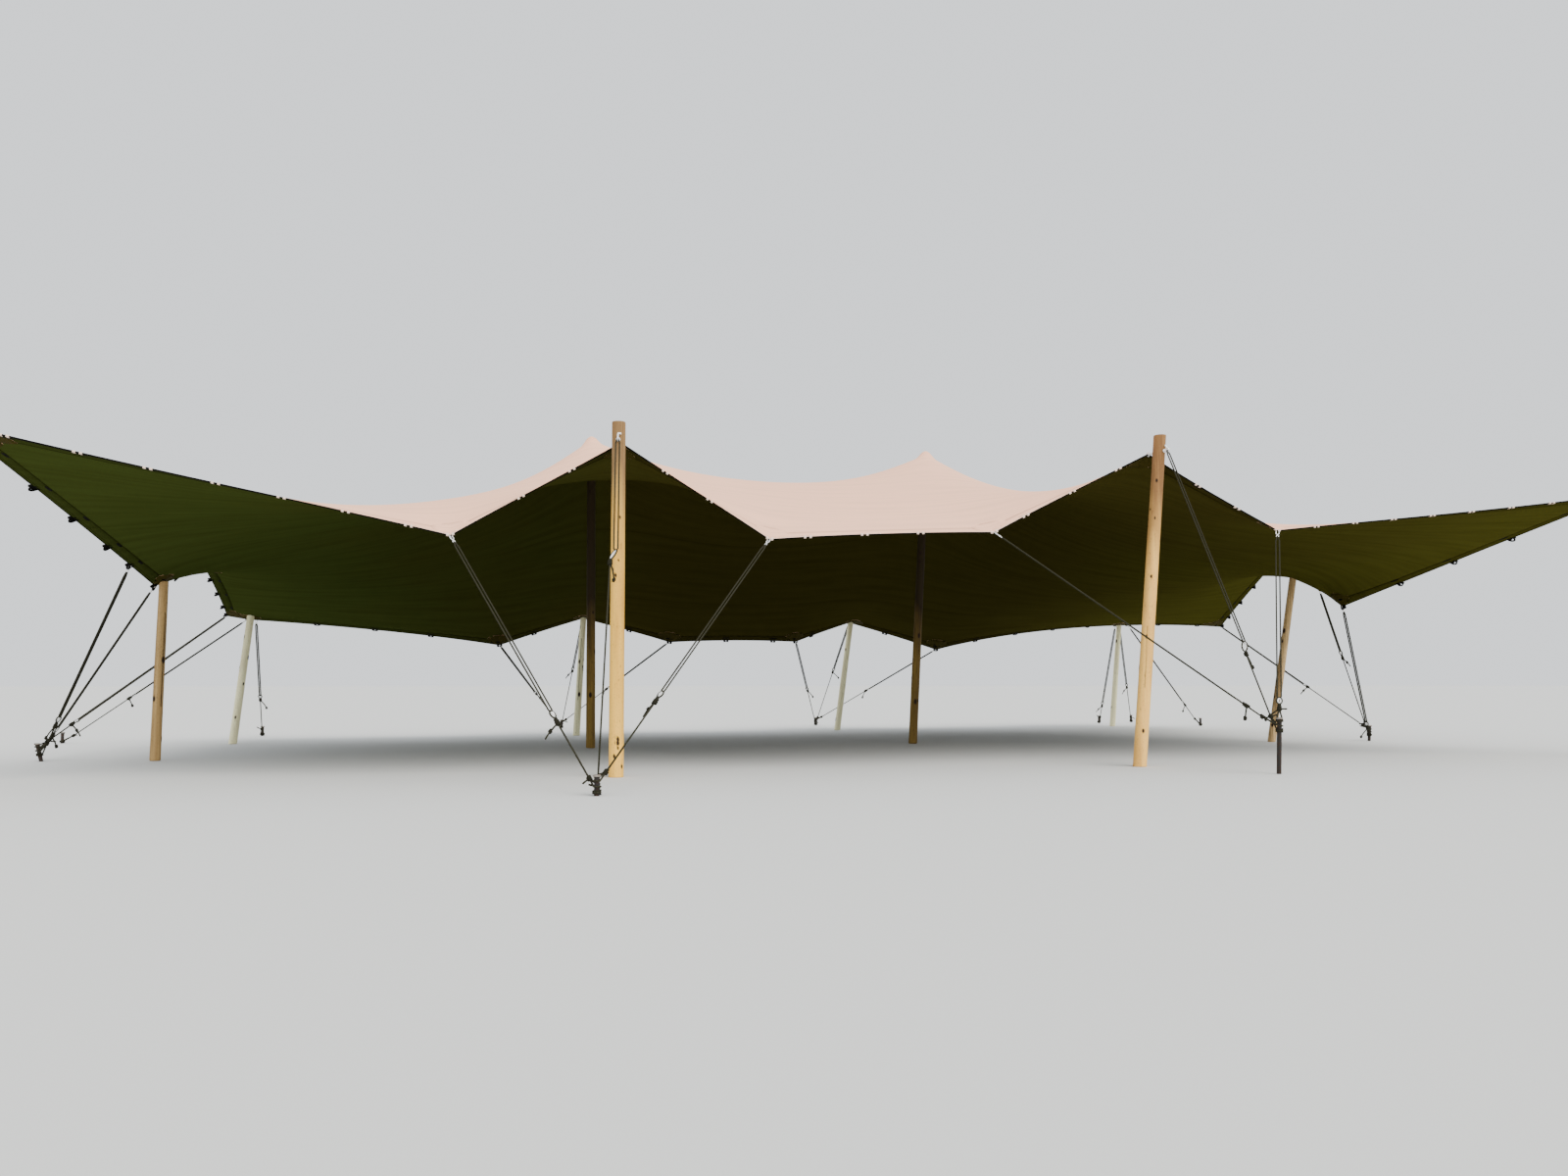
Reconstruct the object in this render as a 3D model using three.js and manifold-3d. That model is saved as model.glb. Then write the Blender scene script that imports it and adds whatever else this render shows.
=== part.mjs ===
// Stretch tent: one tensioned canopy over two tall inner poles, hoisted to four front poles,
// propped along its hem by short poles and pulled down by rope guys to steel ground stakes.
// Millimetres, +Z up, ground at Z = 0. The open front faces -Y, and X runs along it.
import * as THREE from 'three';
import { mergeVertices } from 'three/addons/utils/BufferGeometryUtils.js';
import Module from 'manifold-3d';

const wasm = await Module();
wasm.setup();

// The canopy
const FABRIC_THICKNESS = 10;
const SEAT_GAP = 0.3;
const RIM_GROWTH = 2;
const SPACE_ABOVE = 600;
const CELLS_ACROSS = 50;
const CELLS_DEEP = 28;
const CLOTH_CELL = 333;
// A peak's round cap reaches this many cells out from its pole, and drops this far at its corners
const PEAK_CAP = 0.2;
const PEAK_DROP = 50;
const PEAK_LINES = [-0.5, -PEAK_CAP, PEAK_CAP, 0.5];

// Pull per metre of cloth, front to back and from side to side, and how much more at each peak
const PULL_DEEP = 1;
const PULL_ACROSS = 0.58;
const PEAK_PULL = 60;
const PEAK_REACH = 370;
const RELAX_ROUNDS = 2500;
const OVER_RELAXATION = 1.9;
const START_HEIGHT = 2000;

// Where the hem is held, and the crown of the arch on its left and its right side: the cell
// counted along that side, the place, and the pull of the hem's webbing from there to the next
// one, in metres of cloth pull
const FRONT_HEM = [
  { cell: 0, at: [-7900, -4890, 2760], pull: 12.7 },
  { cell: 11, at: [-4250, -5050, 2000], pull: 8.1 },
  { cell: 16, at: [-2835, -4790, 2890], pull: 8.1 },
  { cell: 21, at: [-1560, -5050, 2050], pull: 8.1 },
  { cell: 27, at: [580, -5050, 2180], pull: 8.1 },
  { cell: 32, at: [2370, -4770, 3050], pull: 8.1 },
  { cell: 37, at: [3610, -5050, 2295], pull: 12.7 },
  { cell: 50, at: [8000, -5000, 2840] },
];
const BACK_HEM = [
  { cell: 0, at: [-7300, 2200, 1700], pull: 10.9 },
  { cell: 1, at: [-7020, 2080, 1650], pull: 10.9 },
  { cell: 11, at: [-3720, 2700, 1350], pull: 11.5 },
  { cell: 15, at: [-2470, 3260, 1790], pull: 11.5 },
  { cell: 19, at: [-1140, 3200, 1435], pull: 11.5 },
  { cell: 25, at: [980, 3500, 1470], pull: 11.5 },
  { cell: 29, at: [2130, 4230, 1830], pull: 11.5 },
  { cell: 33, at: [3580, 3900, 1370], pull: 5.2 },
  { cell: 44, at: [7530, 4700, 1870], pull: 5.2 },
  { cell: 50, at: [8550, 3000, 1780] },
];
const LEFT_HEM = [
  { cell: 0, at: [-7900, -4890, 2760], pull: 60 },
  { cell: 12, at: [-7270, -1610, 1800], pull: 30 },
  { cell: 20, at: [-7204, 300, 2178], pull: 30 },
  { cell: 28, at: [-7300, 2200, 1700] },
];
const RIGHT_HEM = [
  { cell: 0, at: [8000, -5000, 2840], pull: 60 },
  { cell: 11, at: [6890, -2000, 1790], pull: 30 },
  { cell: 18, at: [7380, -150, 2650], pull: 30 },
  { cell: 28, at: [8550, 3000, 1780] },
];
const PEAKS = [
  { cell: [16, 15], at: [-2700, -360, 3860] },
  { cell: [29, 15], at: [1760, -340, 3900] },
];
const SIDE_PROP = { cell: [49, 13], at: [6700, -1300, 2215] };

// Poles of peeled round timber: foot and top in plan. The front ones stand free to their height
// and hoist the front hem at one of its cells; the others end under the canopy.
const TALL_POLE = { footRadius: 64, topRadius: 59, sides: 16 };
const SHORT_POLE = { footRadius: 52, topRadius: 45, sides: 14 };
const POLE_SPARE = 50;
const PEAK_POLE = { footRadius: 56, topRadius: 50, sides: 16 };
const FRONT_POLES = [
  { name: 'corner_left', foot: [-8010, -5000], top: [-8010, -5000], height: 2980, hoists: 0 },
  { name: 'left', foot: [-2860, -4910], top: [-2870, -4910], height: 3050, hoists: 16 },
  { name: 'right', foot: [2120, -4890], top: [2430, -4890], height: 3220, hoists: 32 },
  { name: 'corner_right', foot: [8040, -5120], top: [8120, -5120], height: 3060, hoists: 50 },
];
const PROPPING_POLES = [
  { name: 'side_pole_left', foot: [-7200, -1610], top: [-7190, -1600], kind: SHORT_POLE },
  { name: 'side_pole_right', foot: [6410, -1120], top: [6700, -1300], kind: SHORT_POLE },
  { name: 'back_pole_left', foot: [-7100, 1800], top: [-6970, 1990], kind: SHORT_POLE },
  { name: 'back_pole_inner_left', foot: [-2550, 3210], top: [-2470, 3180], kind: SHORT_POLE },
  { name: 'back_pole_inner_right', foot: [1890, 4180], top: [2130, 4150], kind: SHORT_POLE },
  { name: 'back_pole_right', foot: [7350, 4650], top: [7510, 4610], kind: SHORT_POLE },
  { name: 'peak_pole_left', foot: [-2660, -360], top: [-2700, -360], kind: PEAK_POLE },
  { name: 'peak_pole_right', foot: [1540, -340], top: [1760, -340], kind: PEAK_POLE },
];

// Ground stakes, shown from the ground up: foot in plan, height, lean of the head away from the
// pull, and how high the lowest of its knots sits
const STAKE_RADIUS = 20;
const STAKE_HEAD_RADIUS = 34;
const STAKE_HEAD_HEIGHT = 16;
const STAKE_HEAD_BEVEL = 3;
const STAKE_SIDES = 12;
const FRONT_STAKE_ROW = -6558;
const BACK_STAKE_ROW = 6558;
const END_STAKE = 9308;
const STAKES = {
  front_corner_left: { at: [-END_STAKE + 300, FRONT_STAKE_ROW + 160], height: 150, lean: [0, 0], knot: 24 },
  front_left: { at: [-3180, FRONT_STAKE_ROW], height: 150, lean: [0, 0], knot: 24 },
  front_right: { at: [2800, -6020], height: 495, lean: [-45, -90], knot: 380 },
  front_corner_right: { at: [END_STAKE, FRONT_STAKE_ROW + 160], height: 150, lean: [0, 0], knot: 24 },
  side_left: { at: [-8290, -1440], height: 185, lean: [-45, 0], knot: 66 },
  side_right: { at: [7890, -1220], height: 215, lean: [20, 0], knot: 80 },
  back_corner_left: { at: [-END_STAKE, 2520], height: 150, lean: [0, 0], knot: 24 },
  back_left: { at: [-7140, 4220], height: 150, lean: [0, 0], knot: 24 },
  back_inner_left: { at: [-2570, 6250], height: 150, lean: [0, 0], knot: 24 },
  back_inner_right: { at: [2180, 6500], height: 150, lean: [0, 0], knot: 24 },
  back_right: { at: [7950, 6200], height: 150, lean: [0, 0], knot: 24 },
  back_corner_right: { at: [8880, BACK_STAKE_ROW], height: 150, lean: [0, 0], knot: 24 },
  end_right: { at: [9000, 4350], height: 150, lean: [0, 0], knot: 24 },
};

// Ropes from the hem or a pole's head down to a stake. A rope is doubled down to its block,
// which sits at that share of the way, and its knots stack on the stake.
const ROPE_RADIUS = 6;
const ROPE_SIDES = 6;
const STRAND_SPREAD = 26;
const HOOK_LENGTH = 110;
const HOOK_TOP_RADIUS = 15;
const HOOK_END_RADIUS = 19.5;
const HOOK_GRIP = 8;
const BLOCK_LENGTH = 90;
const BLOCK_RADIUS = 17;
const BLOCK_LAP = 10;
const KNOT_RADIUS = 17;
const KNOT_SIDES = 6;
const KNOT_RINGS = 4;
const KNOT_BITE = 4;
const KNOT_STEP = 40;
// The eye bolt through a front pole's head
const EYE_DROP = 165;
const EYE_STANDOFF = 40;
const EYE_RADIUS = 22;
const BOLT_RADIUS = 9;
const BOLT_SIDES = 8;
const GUYS = [
  { name: 'guy_corner_left', pole: 'corner_left', stake: 'front_corner_left', block: 0.35 },
  { name: 'guy_front_pole_left', pole: 'left', stake: 'front_left', block: 0.33 },
  { name: 'guy_front_pole_right', pole: 'right', stake: 'front_right', block: 0.72 },
  { name: 'guy_corner_right', pole: 'corner_right', stake: 'front_corner_right', block: 0.5 },
  { name: 'guy_front_a', hem: ['front', 11], stake: 'front_left', block: 0.7 },
  { name: 'guy_front_b', hem: ['front', 21], stake: 'front_left', block: 0.65 },
  { name: 'guy_front_c', hem: ['front', 27], stake: 'front_right', block: 0.84 },
  { name: 'guy_front_d', hem: ['front', 37], stake: 'front_right', block: 0.86 },
  { name: 'guy_side_left_front', hem: ['left', 10], stake: 'side_left', block: 0.76 },
  { name: 'guy_side_left', hem: ['left', 12], stake: 'side_left', block: 0.82 },
  { name: 'guy_corner_back_left', hem: ['left', 28], stake: 'side_left', block: 0.82 },
  { name: 'guy_back_left_outer', hem: ['back', 1], stake: 'back_corner_left', block: 0.58 },
  { name: 'guy_back_left', hem: ['back', 1.3], stake: 'back_left', block: 0.6 },
  { name: 'guy_back_e', hem: ['back', 11], stake: 'back_inner_left', block: 0.5 },
  { name: 'guy_back_pole_left', hem: ['back', 15], stake: 'back_inner_left', block: 0.4 },
  { name: 'guy_back_f', hem: ['back', 19], stake: 'back_inner_left', block: 0.5 },
  { name: 'guy_back_g', hem: ['back', 25], stake: 'back_inner_right', block: 0.5 },
  { name: 'guy_back_pole_right', hem: ['back', 29], stake: 'back_inner_right', block: 0.4 },
  { name: 'guy_back_h', hem: ['back', 33], stake: 'back_inner_right', block: 0.5 },
  { name: 'guy_back_right', hem: ['back', 43.85], stake: 'back_right', block: 0.75 },
  { name: 'guy_back_right_outer', hem: ['back', 44.1], stake: 'back_corner_right', block: 0.56 },
  { name: 'guy_end_right', hem: ['back', 44.6], stake: 'end_right', block: 0.72 },
  { name: 'guy_side_right', hem: ['right', 11], stake: 'side_right', block: 0.86 },
  { name: 'guy_side_right_rear', hem: ['right', 13.4], stake: 'side_right', block: 0.46 },
  { name: 'guy_corner_back_right', hem: ['right', 28], stake: 'side_right', block: 0.6 },
];

const FABRIC = new THREE.MeshStandardMaterial({ color: 0xb8a287, roughness: 0.85, metalness: 0 });
const TIMBER = new THREE.MeshStandardMaterial({ color: 0xb79a76, roughness: 0.8, metalness: 0 });
const ROPE = new THREE.MeshStandardMaterial({ color: 0x1d1c1b, roughness: 0.9, metalness: 0 });
const STEEL = new THREE.MeshStandardMaterial({ color: 0x8d8f90, roughness: 0.45, metalness: 0.9 });

const vector = (at) => new THREE.Vector3(...at);

// Solids for joining and cutting
function solidFrom(geometry) {
  const bare = geometry.index ? geometry.toNonIndexed() : geometry.clone();
  bare.deleteAttribute('normal');
  bare.deleteAttribute('uv');
  const merged = mergeVertices(bare, 1e-4);
  const vertProperties = new Float32Array(merged.attributes.position.array);
  const triVerts = new Uint32Array(merged.index.array);
  return new wasm.Manifold(new wasm.Mesh({ numProp: 3, vertProperties, triVerts }));
}

function geometryFrom(solid) {
  const mesh = solid.getMesh();
  const geometry = new THREE.BufferGeometry();
  geometry.setAttribute('position', new THREE.BufferAttribute(mesh.vertProperties, mesh.numProp));
  geometry.setIndex(new THREE.BufferAttribute(mesh.triVerts, 1));
  return geometry;
}

const join = (solids) => solids.reduce((whole, piece) => whole.add(piece));

// A round bar from one point to another, its ends square to it
function bar(start, end, startRadius, endRadius, sides) {
  const geometry = new THREE.CylinderGeometry(endRadius, startRadius, start.distanceTo(end), sides);
  const along = end.clone().sub(start).normalize();
  geometry.applyQuaternion(new THREE.Quaternion().setFromUnitVectors(new THREE.Vector3(0, 1, 0), along));
  geometry.translate(...start.clone().add(end).multiplyScalar(0.5));
  return geometry;
}

// Lines of the cloth's grid, in cells: the whole cells, and finer lines about each peak
function clothLines(cells, peakCells) {
  const lines = new Set();
  for (let cell = 0; cell <= cells; cell += 1) {
    lines.add(cell);
  }
  for (const peak of peakCells) {
    for (const offset of PEAK_LINES) {
      lines.add(peak + offset);
    }
  }
  return [...lines].sort((a, b) => a - b);
}

const acrossLines = clothLines(CELLS_ACROSS, PEAKS.map((peak) => peak.cell[0]));
const deepLines = clothLines(CELLS_DEEP, [PEAKS[0].cell[1]]);
const acrossCount = acrossLines.length;
const deepCount = deepLines.length;
const knotIndex = (i, j) => j * acrossCount + i;
const knotAt = (cells) => knotIndex(acrossLines.indexOf(cells[0]), deepLines.indexOf(cells[1]));

// Half the width of cloth on both sides of a grid line
function shareWidth(lines, k) {
  const before = k > 0 ? lines[k] - lines[k - 1] : 0;
  const after = k < lines.length - 1 ? lines[k + 1] - lines[k] : 0;
  return (before + after) / 2;
}

// Pull of the hem's webbing on the stretch of one side that starts at a line
function hemPull(holds, cell) {
  let pull = 0;
  for (const hold of holds) {
    if (hold.cell <= cell && hold.pull) {
      pull = hold.pull;
    }
  }
  return pull * 1000 / CLOTH_CELL;
}

// How many times its plain pull the cloth has there: it pulls much harder close round the peaks
function peakFactor(cellAcross, cellDeep) {
  let factor = 1;
  for (const peak of PEAKS) {
    const away = CLOTH_CELL * Math.hypot(cellAcross - peak.cell[0], cellDeep - peak.cell[1]);
    factor += PEAK_PULL * Math.exp(-((away / PEAK_REACH) ** 2));
  }
  return factor;
}

// Links of the net: each joins two knots with a force density
function clothLinks() {
  const links = [];
  for (let j = 0; j < deepCount; j += 1) {
    for (let i = 0; i < acrossCount; i += 1) {
      if (i < acrossCount - 1) {
        const length = acrossLines[i + 1] - acrossLines[i];
        const middle = (acrossLines[i + 1] + acrossLines[i]) / 2;
        let force = PULL_ACROSS * peakFactor(middle, deepLines[j]) * shareWidth(deepLines, j);
        force += j === 0 ? hemPull(FRONT_HEM, acrossLines[i]) : 0;
        force += j === deepCount - 1 ? hemPull(BACK_HEM, acrossLines[i]) : 0;
        links.push([knotIndex(i, j), knotIndex(i + 1, j), force / length]);
      }
      if (j < deepCount - 1) {
        const length = deepLines[j + 1] - deepLines[j];
        const middle = (deepLines[j + 1] + deepLines[j]) / 2;
        let force = PULL_DEEP * peakFactor(acrossLines[i], middle) * shareWidth(acrossLines, i);
        force += i === 0 ? hemPull(LEFT_HEM, deepLines[j]) : 0;
        force += i === acrossCount - 1 ? hemPull(RIGHT_HEM, deepLines[j]) : 0;
        links.push([knotIndex(i, j), knotIndex(i, j + 1), force / length]);
      }
    }
  }
  return links;
}

// Knots that stay where they are: the hem's holds and crowns, the side prop and the round top
// of each peak
function heldKnots() {
  const held = new Map();
  for (const hold of FRONT_HEM) {
    held.set(knotAt([hold.cell, 0]), hold.at);
  }
  for (const hold of BACK_HEM) {
    held.set(knotAt([hold.cell, CELLS_DEEP]), hold.at);
  }
  for (const hold of LEFT_HEM) {
    held.set(knotAt([0, hold.cell]), hold.at);
  }
  for (const hold of RIGHT_HEM) {
    held.set(knotAt([CELLS_ACROSS, hold.cell]), hold.at);
  }
  held.set(knotAt(SIDE_PROP.cell), SIDE_PROP.at);
  for (const peak of PEAKS) {
    const [across, deep] = peak.cell;
    for (const u of [-PEAK_CAP, 0, PEAK_CAP]) {
      for (const v of [-PEAK_CAP, 0, PEAK_CAP]) {
        const drop = PEAK_DROP * (u * u + v * v) / (2 * PEAK_CAP ** 2);
        const knot = knotAt([across + u, deep + v]);
        held.set(knot, [peak.at[0] + u * CLOTH_CELL, peak.at[1] + v * CLOTH_CELL, peak.at[2] - drop]);
      }
    }
  }
  return held;
}

// Rest places of all knots: every free knot ends at the pull-weighted mean of its neighbours
function relaxCloth() {
  const held = heldKnots();
  const count = acrossCount * deepCount;
  const neighbours = Array.from({ length: count }, () => []);
  for (const [a, b, density] of clothLinks()) {
    neighbours[a].push([b, density]);
    neighbours[b].push([a, density]);
  }
  const places = [];
  for (let knot = 0; knot < count; knot += 1) {
    places.push(held.has(knot) ? [...held.get(knot)] : [0, 0, START_HEIGHT]);
  }
  for (let round = 0; round < RELAX_ROUNDS; round += 1) {
    for (let knot = 0; knot < count; knot += 1) {
      if (held.has(knot)) {
        continue;
      }
      for (let axis = 0; axis < 3; axis += 1) {
        let pull = 0;
        let weight = 0;
        for (const [other, density] of neighbours[knot]) {
          pull += density * places[other][axis];
          weight += density;
        }
        places[knot][axis] += OVER_RELAXATION * (pull / weight - places[knot][axis]);
      }
    }
  }
  return places.map(vector);
}

const cloth = relaxCloth();

// Unit normals of the cloth, upwards
function clothNormals() {
  const normals = [];
  for (let j = 0; j < deepCount; j += 1) {
    for (let i = 0; i < acrossCount; i += 1) {
      const left = cloth[knotIndex(Math.max(i - 1, 0), j)];
      const right = cloth[knotIndex(Math.min(i + 1, acrossCount - 1), j)];
      const front = cloth[knotIndex(i, Math.max(j - 1, 0))];
      const back = cloth[knotIndex(i, Math.min(j + 1, deepCount - 1))];
      const across = right.clone().sub(left);
      const deep = back.clone().sub(front);
      normals.push(across.cross(deep).normalize());
    }
  }
  return normals;
}

const upwards = clothNormals();

// How far a knot moves when the cloth's rim is let out by some millimetres
function letOut(i, j, amount) {
  const here = cloth[knotIndex(i, j)];
  const move = new THREE.Vector3();
  if (i === 0 || i === acrossCount - 1) {
    const inner = cloth[knotIndex(i === 0 ? 1 : i - 1, j)];
    move.add(here.clone().sub(inner).setLength(amount));
  }
  if (j === 0 || j === deepCount - 1) {
    const inner = cloth[knotIndex(i, j === 0 ? 1 : j - 1)];
    move.add(here.clone().sub(inner).setLength(amount));
  }
  return move;
}

// A closed sheet about the cloth: grown by some millimetres all round, and lifted on its upper side
function clothSolid(grow, lift) {
  const count = acrossCount * deepCount;
  const reach = FABRIC_THICKNESS / 2 + grow;
  const upper = [];
  const lower = [];
  for (let j = 0; j < deepCount; j += 1) {
    for (let i = 0; i < acrossCount; i += 1) {
      const knot = knotIndex(i, j);
      const middle = cloth[knot].clone().add(letOut(i, j, RIM_GROWTH * grow));
      const top = middle.clone().addScaledVector(upwards[knot], reach);
      const bottom = middle.clone().addScaledVector(upwards[knot], -reach);
      upper.push(top.x, top.y, top.z + lift);
      lower.push(bottom.x, bottom.y, bottom.z);
    }
  }
  const positions = [...upper, ...lower];
  const index = [];
  for (let j = 0; j < deepCount - 1; j += 1) {
    for (let i = 0; i < acrossCount - 1; i += 1) {
      const a = knotIndex(i, j);
      const b = knotIndex(i + 1, j);
      const c = knotIndex(i + 1, j + 1);
      const d = knotIndex(i, j + 1);
      index.push(a, b, c, a, c, d);
      index.push(count + a, count + c, count + b, count + a, count + d, count + c);
    }
  }
  const rim = [];
  for (let i = 0; i < acrossCount - 1; i += 1) {
    rim.push([knotIndex(i + 1, 0), knotIndex(i, 0)]);
    rim.push([knotIndex(i, deepCount - 1), knotIndex(i + 1, deepCount - 1)]);
  }
  for (let j = 0; j < deepCount - 1; j += 1) {
    rim.push([knotIndex(0, j), knotIndex(0, j + 1)]);
    rim.push([knotIndex(acrossCount - 1, j + 1), knotIndex(acrossCount - 1, j)]);
  }
  for (const [a, b] of rim) {
    index.push(a, b, count + b, a, count + b, count + a);
  }
  const geometry = new THREE.BufferGeometry();
  geometry.setAttribute('position', new THREE.Float32BufferAttribute(positions, 3));
  geometry.setIndex(index);
  return geometry;
}

const canopy = clothSolid(0, 0);
const canopyWithGap = solidFrom(clothSolid(SEAT_GAP, 0));
const spaceAboveCloth = solidFrom(clothSolid(SEAT_GAP, SPACE_ABOVE));

const tent = new THREE.Group();

function addPiece(name, geometry, material) {
  const mesh = new THREE.Mesh(geometry, material);
  mesh.name = name;
  tent.add(mesh);
}

// An upright shape on Z = 0 moved to its foot and leaned: its foot and its sections stay level
function leaned(geometry, foot, top, height) {
  const lean = new THREE.Matrix4().set(
    1, 0, (top[0] - foot[0]) / height, foot[0],
    0, 1, (top[1] - foot[1]) / height, foot[1],
    0, 0, 1, 0,
    0, 0, 0, 1,
  );
  return geometry.applyMatrix4(lean);
}

function pole(foot, top, height, kind) {
  const geometry = new THREE.CylinderGeometry(kind.topRadius, kind.footRadius, height, kind.sides);
  geometry.rotateX(Math.PI / 2);
  geometry.translate(0, 0, height / 2);
  return leaned(geometry, foot, top, height);
}

// Height of the cloth over a point, read from the nearest knot
function clothHeight(at) {
  let nearest = cloth[0];
  for (const knot of cloth) {
    if (Math.hypot(knot.x - at[0], knot.y - at[1]) < Math.hypot(nearest.x - at[0], nearest.y - at[1])) {
      nearest = knot;
    }
  }
  return nearest.z;
}

function proppingPole(spec) {
  const height = clothHeight(spec.top) + POLE_SPARE;
  return geometryFrom(solidFrom(pole(spec.foot, spec.top, height, spec.kind)).subtract(spaceAboveCloth));
}

// Where a stake's axis passes at some height
function stakeAxis(name, height) {
  const spec = STAKES[name];
  const share = height / spec.height;
  return new THREE.Vector3(spec.at[0] + spec.lean[0] * share, spec.at[1] + spec.lean[1] * share, height);
}

// A driven stake with its round head
function stake(name) {
  const { at, height } = STAKES[name];
  const neck = height - STAKE_HEAD_HEIGHT;
  const profile = [
    [0, 0],
    [STAKE_RADIUS, 0],
    [STAKE_RADIUS, neck],
    [STAKE_HEAD_RADIUS, neck + STAKE_HEAD_BEVEL],
    [STAKE_HEAD_RADIUS, height - STAKE_HEAD_BEVEL],
    [STAKE_HEAD_RADIUS - STAKE_HEAD_BEVEL, height],
    [0, height],
  ];
  const geometry = new THREE.LatheGeometry(profile.map(([r, z]) => new THREE.Vector2(r, z)), STAKE_SIDES);
  geometry.rotateX(Math.PI / 2);
  return leaned(geometry, at, stakeAxis(name, height).toArray(), height);
}

// A stake's shaft with room for a knot to sit against it
function stakeSeat(name) {
  const { at, height } = STAKES[name];
  const radius = STAKE_RADIUS + SEAT_GAP;
  const geometry = new THREE.CylinderGeometry(radius, radius, height + KNOT_RADIUS, STAKE_SIDES);
  geometry.rotateX(Math.PI / 2);
  geometry.translate(0, 0, (height - KNOT_RADIUS) / 2);
  return solidFrom(leaned(geometry, at, stakeAxis(name, height).toArray(), height));
}

const HEM_KNOTS = {
  front: (k) => knotIndex(k, 0),
  back: (k) => knotIndex(k, deepCount - 1),
  left: (k) => knotIndex(0, k),
  right: (k) => knotIndex(acrossCount - 1, k),
};

// A point of the hem, counted in cells along one side
function hemPoint(side, cell) {
  const lines = side === 'front' || side === 'back' ? acrossLines : deepLines;
  const next = Math.max(1, lines.findIndex((line) => line >= cell));
  const share = (cell - lines[next - 1]) / (lines[next] - lines[next - 1]);
  return cloth[HEM_KNOTS[side](next - 1)].clone().lerp(cloth[HEM_KNOTS[side](next)], share);
}

const rope = (start, end) => solidFrom(bar(start, end, ROPE_RADIUS, ROPE_RADIUS, ROPE_SIDES));

// Doubled rope to a block, single rope below it, and a knot against the stake
function ropeBelow(start, spec, knotHeight) {
  const axis = stakeAxis(spec.stake, knotHeight);
  const towards = new THREE.Vector3(start.x - axis.x, start.y - axis.y, 0).normalize();
  const reach = STAKE_RADIUS + KNOT_RADIUS - KNOT_BITE;
  const knot = axis.addScaledVector(towards, reach);
  const along = knot.clone().sub(start).normalize();
  const aside = along.clone().cross(new THREE.Vector3(0, 0, 1)).normalize().multiplyScalar(STRAND_SPREAD / 2);
  const block = start.clone().lerp(knot, spec.block);
  const blockEnd = block.clone().addScaledVector(along, BLOCK_LENGTH);
  const pieces = [rope(start.clone().add(aside), block), rope(start.clone().sub(aside), block)];
  const blockTop = block.clone().addScaledVector(along, -BLOCK_LAP);
  pieces.push(solidFrom(bar(blockTop, blockEnd, BLOCK_RADIUS, BLOCK_RADIUS, ROPE_SIDES)));
  pieces.push(rope(block, knot));
  const ball = new THREE.SphereGeometry(KNOT_RADIUS, KNOT_SIDES, KNOT_RINGS).translate(...knot);
  pieces.push(solidFrom(ball));
  return join(pieces).subtract(stakeSeat(spec.stake));
}

// A snap hook in the hem's webbing loop, gripping the fabric's edge
function hemGuy(spec, knotHeight) {
  const hold = hemPoint(...spec.hem);
  const along = stakeAxis(spec.stake, knotHeight).sub(hold).normalize();
  const start = hold.clone().addScaledVector(along, HOOK_LENGTH);
  const grip = hold.clone().addScaledVector(along, -HOOK_GRIP);
  const hook = solidFrom(bar(grip, start, HOOK_TOP_RADIUS, HOOK_END_RADIUS, ROPE_SIDES));
  return join([hook, ropeBelow(start, spec, knotHeight)]).subtract(canopyWithGap);
}

// An eye bolt through a tall pole's head: the canopy's edge hangs behind it, the guy in front
function headBolt(spec, grow) {
  const post = FRONT_POLES.find((candidate) => candidate.name === spec.pole);
  const height = post.height - EYE_DROP;
  const share = height / post.height;
  const x = post.foot[0] + (post.top[0] - post.foot[0]) * share;
  const y = post.foot[1] + (post.top[1] - post.foot[1]) * share;
  const centre = new THREE.Vector3(x, y, height);
  const outwards = stakeAxis(spec.stake, 0).sub(new THREE.Vector3(x, y, 0)).normalize();
  const front = centre.clone().addScaledVector(outwards, TALL_POLE.topRadius + EYE_STANDOFF);
  const edge = hemPoint('front', post.hoists);
  const radius = BOLT_RADIUS + grow;
  const elbow = new THREE.SphereGeometry(radius, BOLT_SIDES, KNOT_RINGS).translate(...centre);
  const bolt = join([
    solidFrom(bar(centre, front, radius, radius, BOLT_SIDES)),
    solidFrom(bar(centre, edge, radius, radius, BOLT_SIDES)),
    solidFrom(elbow),
  ]);
  return { bolt, front, edge };
}

// The bolt, its two eyes and the rope that runs from the front one
function poleGuy(spec, knotHeight) {
  const { bolt, front, edge } = headBolt(spec, 0);
  const pieces = [bolt, ropeBelow(front, spec, knotHeight)];
  for (const at of [front, edge]) {
    pieces.push(solidFrom(new THREE.SphereGeometry(EYE_RADIUS, KNOT_SIDES, KNOT_RINGS).translate(...at)));
  }
  return join(pieces).subtract(canopyWithGap);
}

function frontPole(spec) {
  const post = solidFrom(pole(spec.foot, spec.top, spec.height, TALL_POLE));
  const guy = GUYS.find((candidate) => candidate.pole === spec.name);
  return geometryFrom(post.subtract(headBolt(guy, SEAT_GAP).bolt));
}

const guysOnStake = {};
for (const name of Object.keys(STAKES)) {
  guysOnStake[name] = 0;
  addPiece(`stake_${name}`, stake(name), STEEL);
}
for (const spec of GUYS) {
  const knotHeight = STAKES[spec.stake].knot + KNOT_STEP * guysOnStake[spec.stake];
  guysOnStake[spec.stake] += 1;
  const solid = spec.pole ? poleGuy(spec, knotHeight) : hemGuy(spec, knotHeight);
  addPiece(spec.name, geometryFrom(solid), ROPE);
}
for (const spec of FRONT_POLES) {
  addPiece(`front_pole_${spec.name}`, frontPole(spec), TIMBER);
}
for (const spec of PROPPING_POLES) {
  addPiece(spec.name, proppingPole(spec), TIMBER);
}
addPiece('canopy', canopy, FABRIC);

export default tent;
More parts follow.
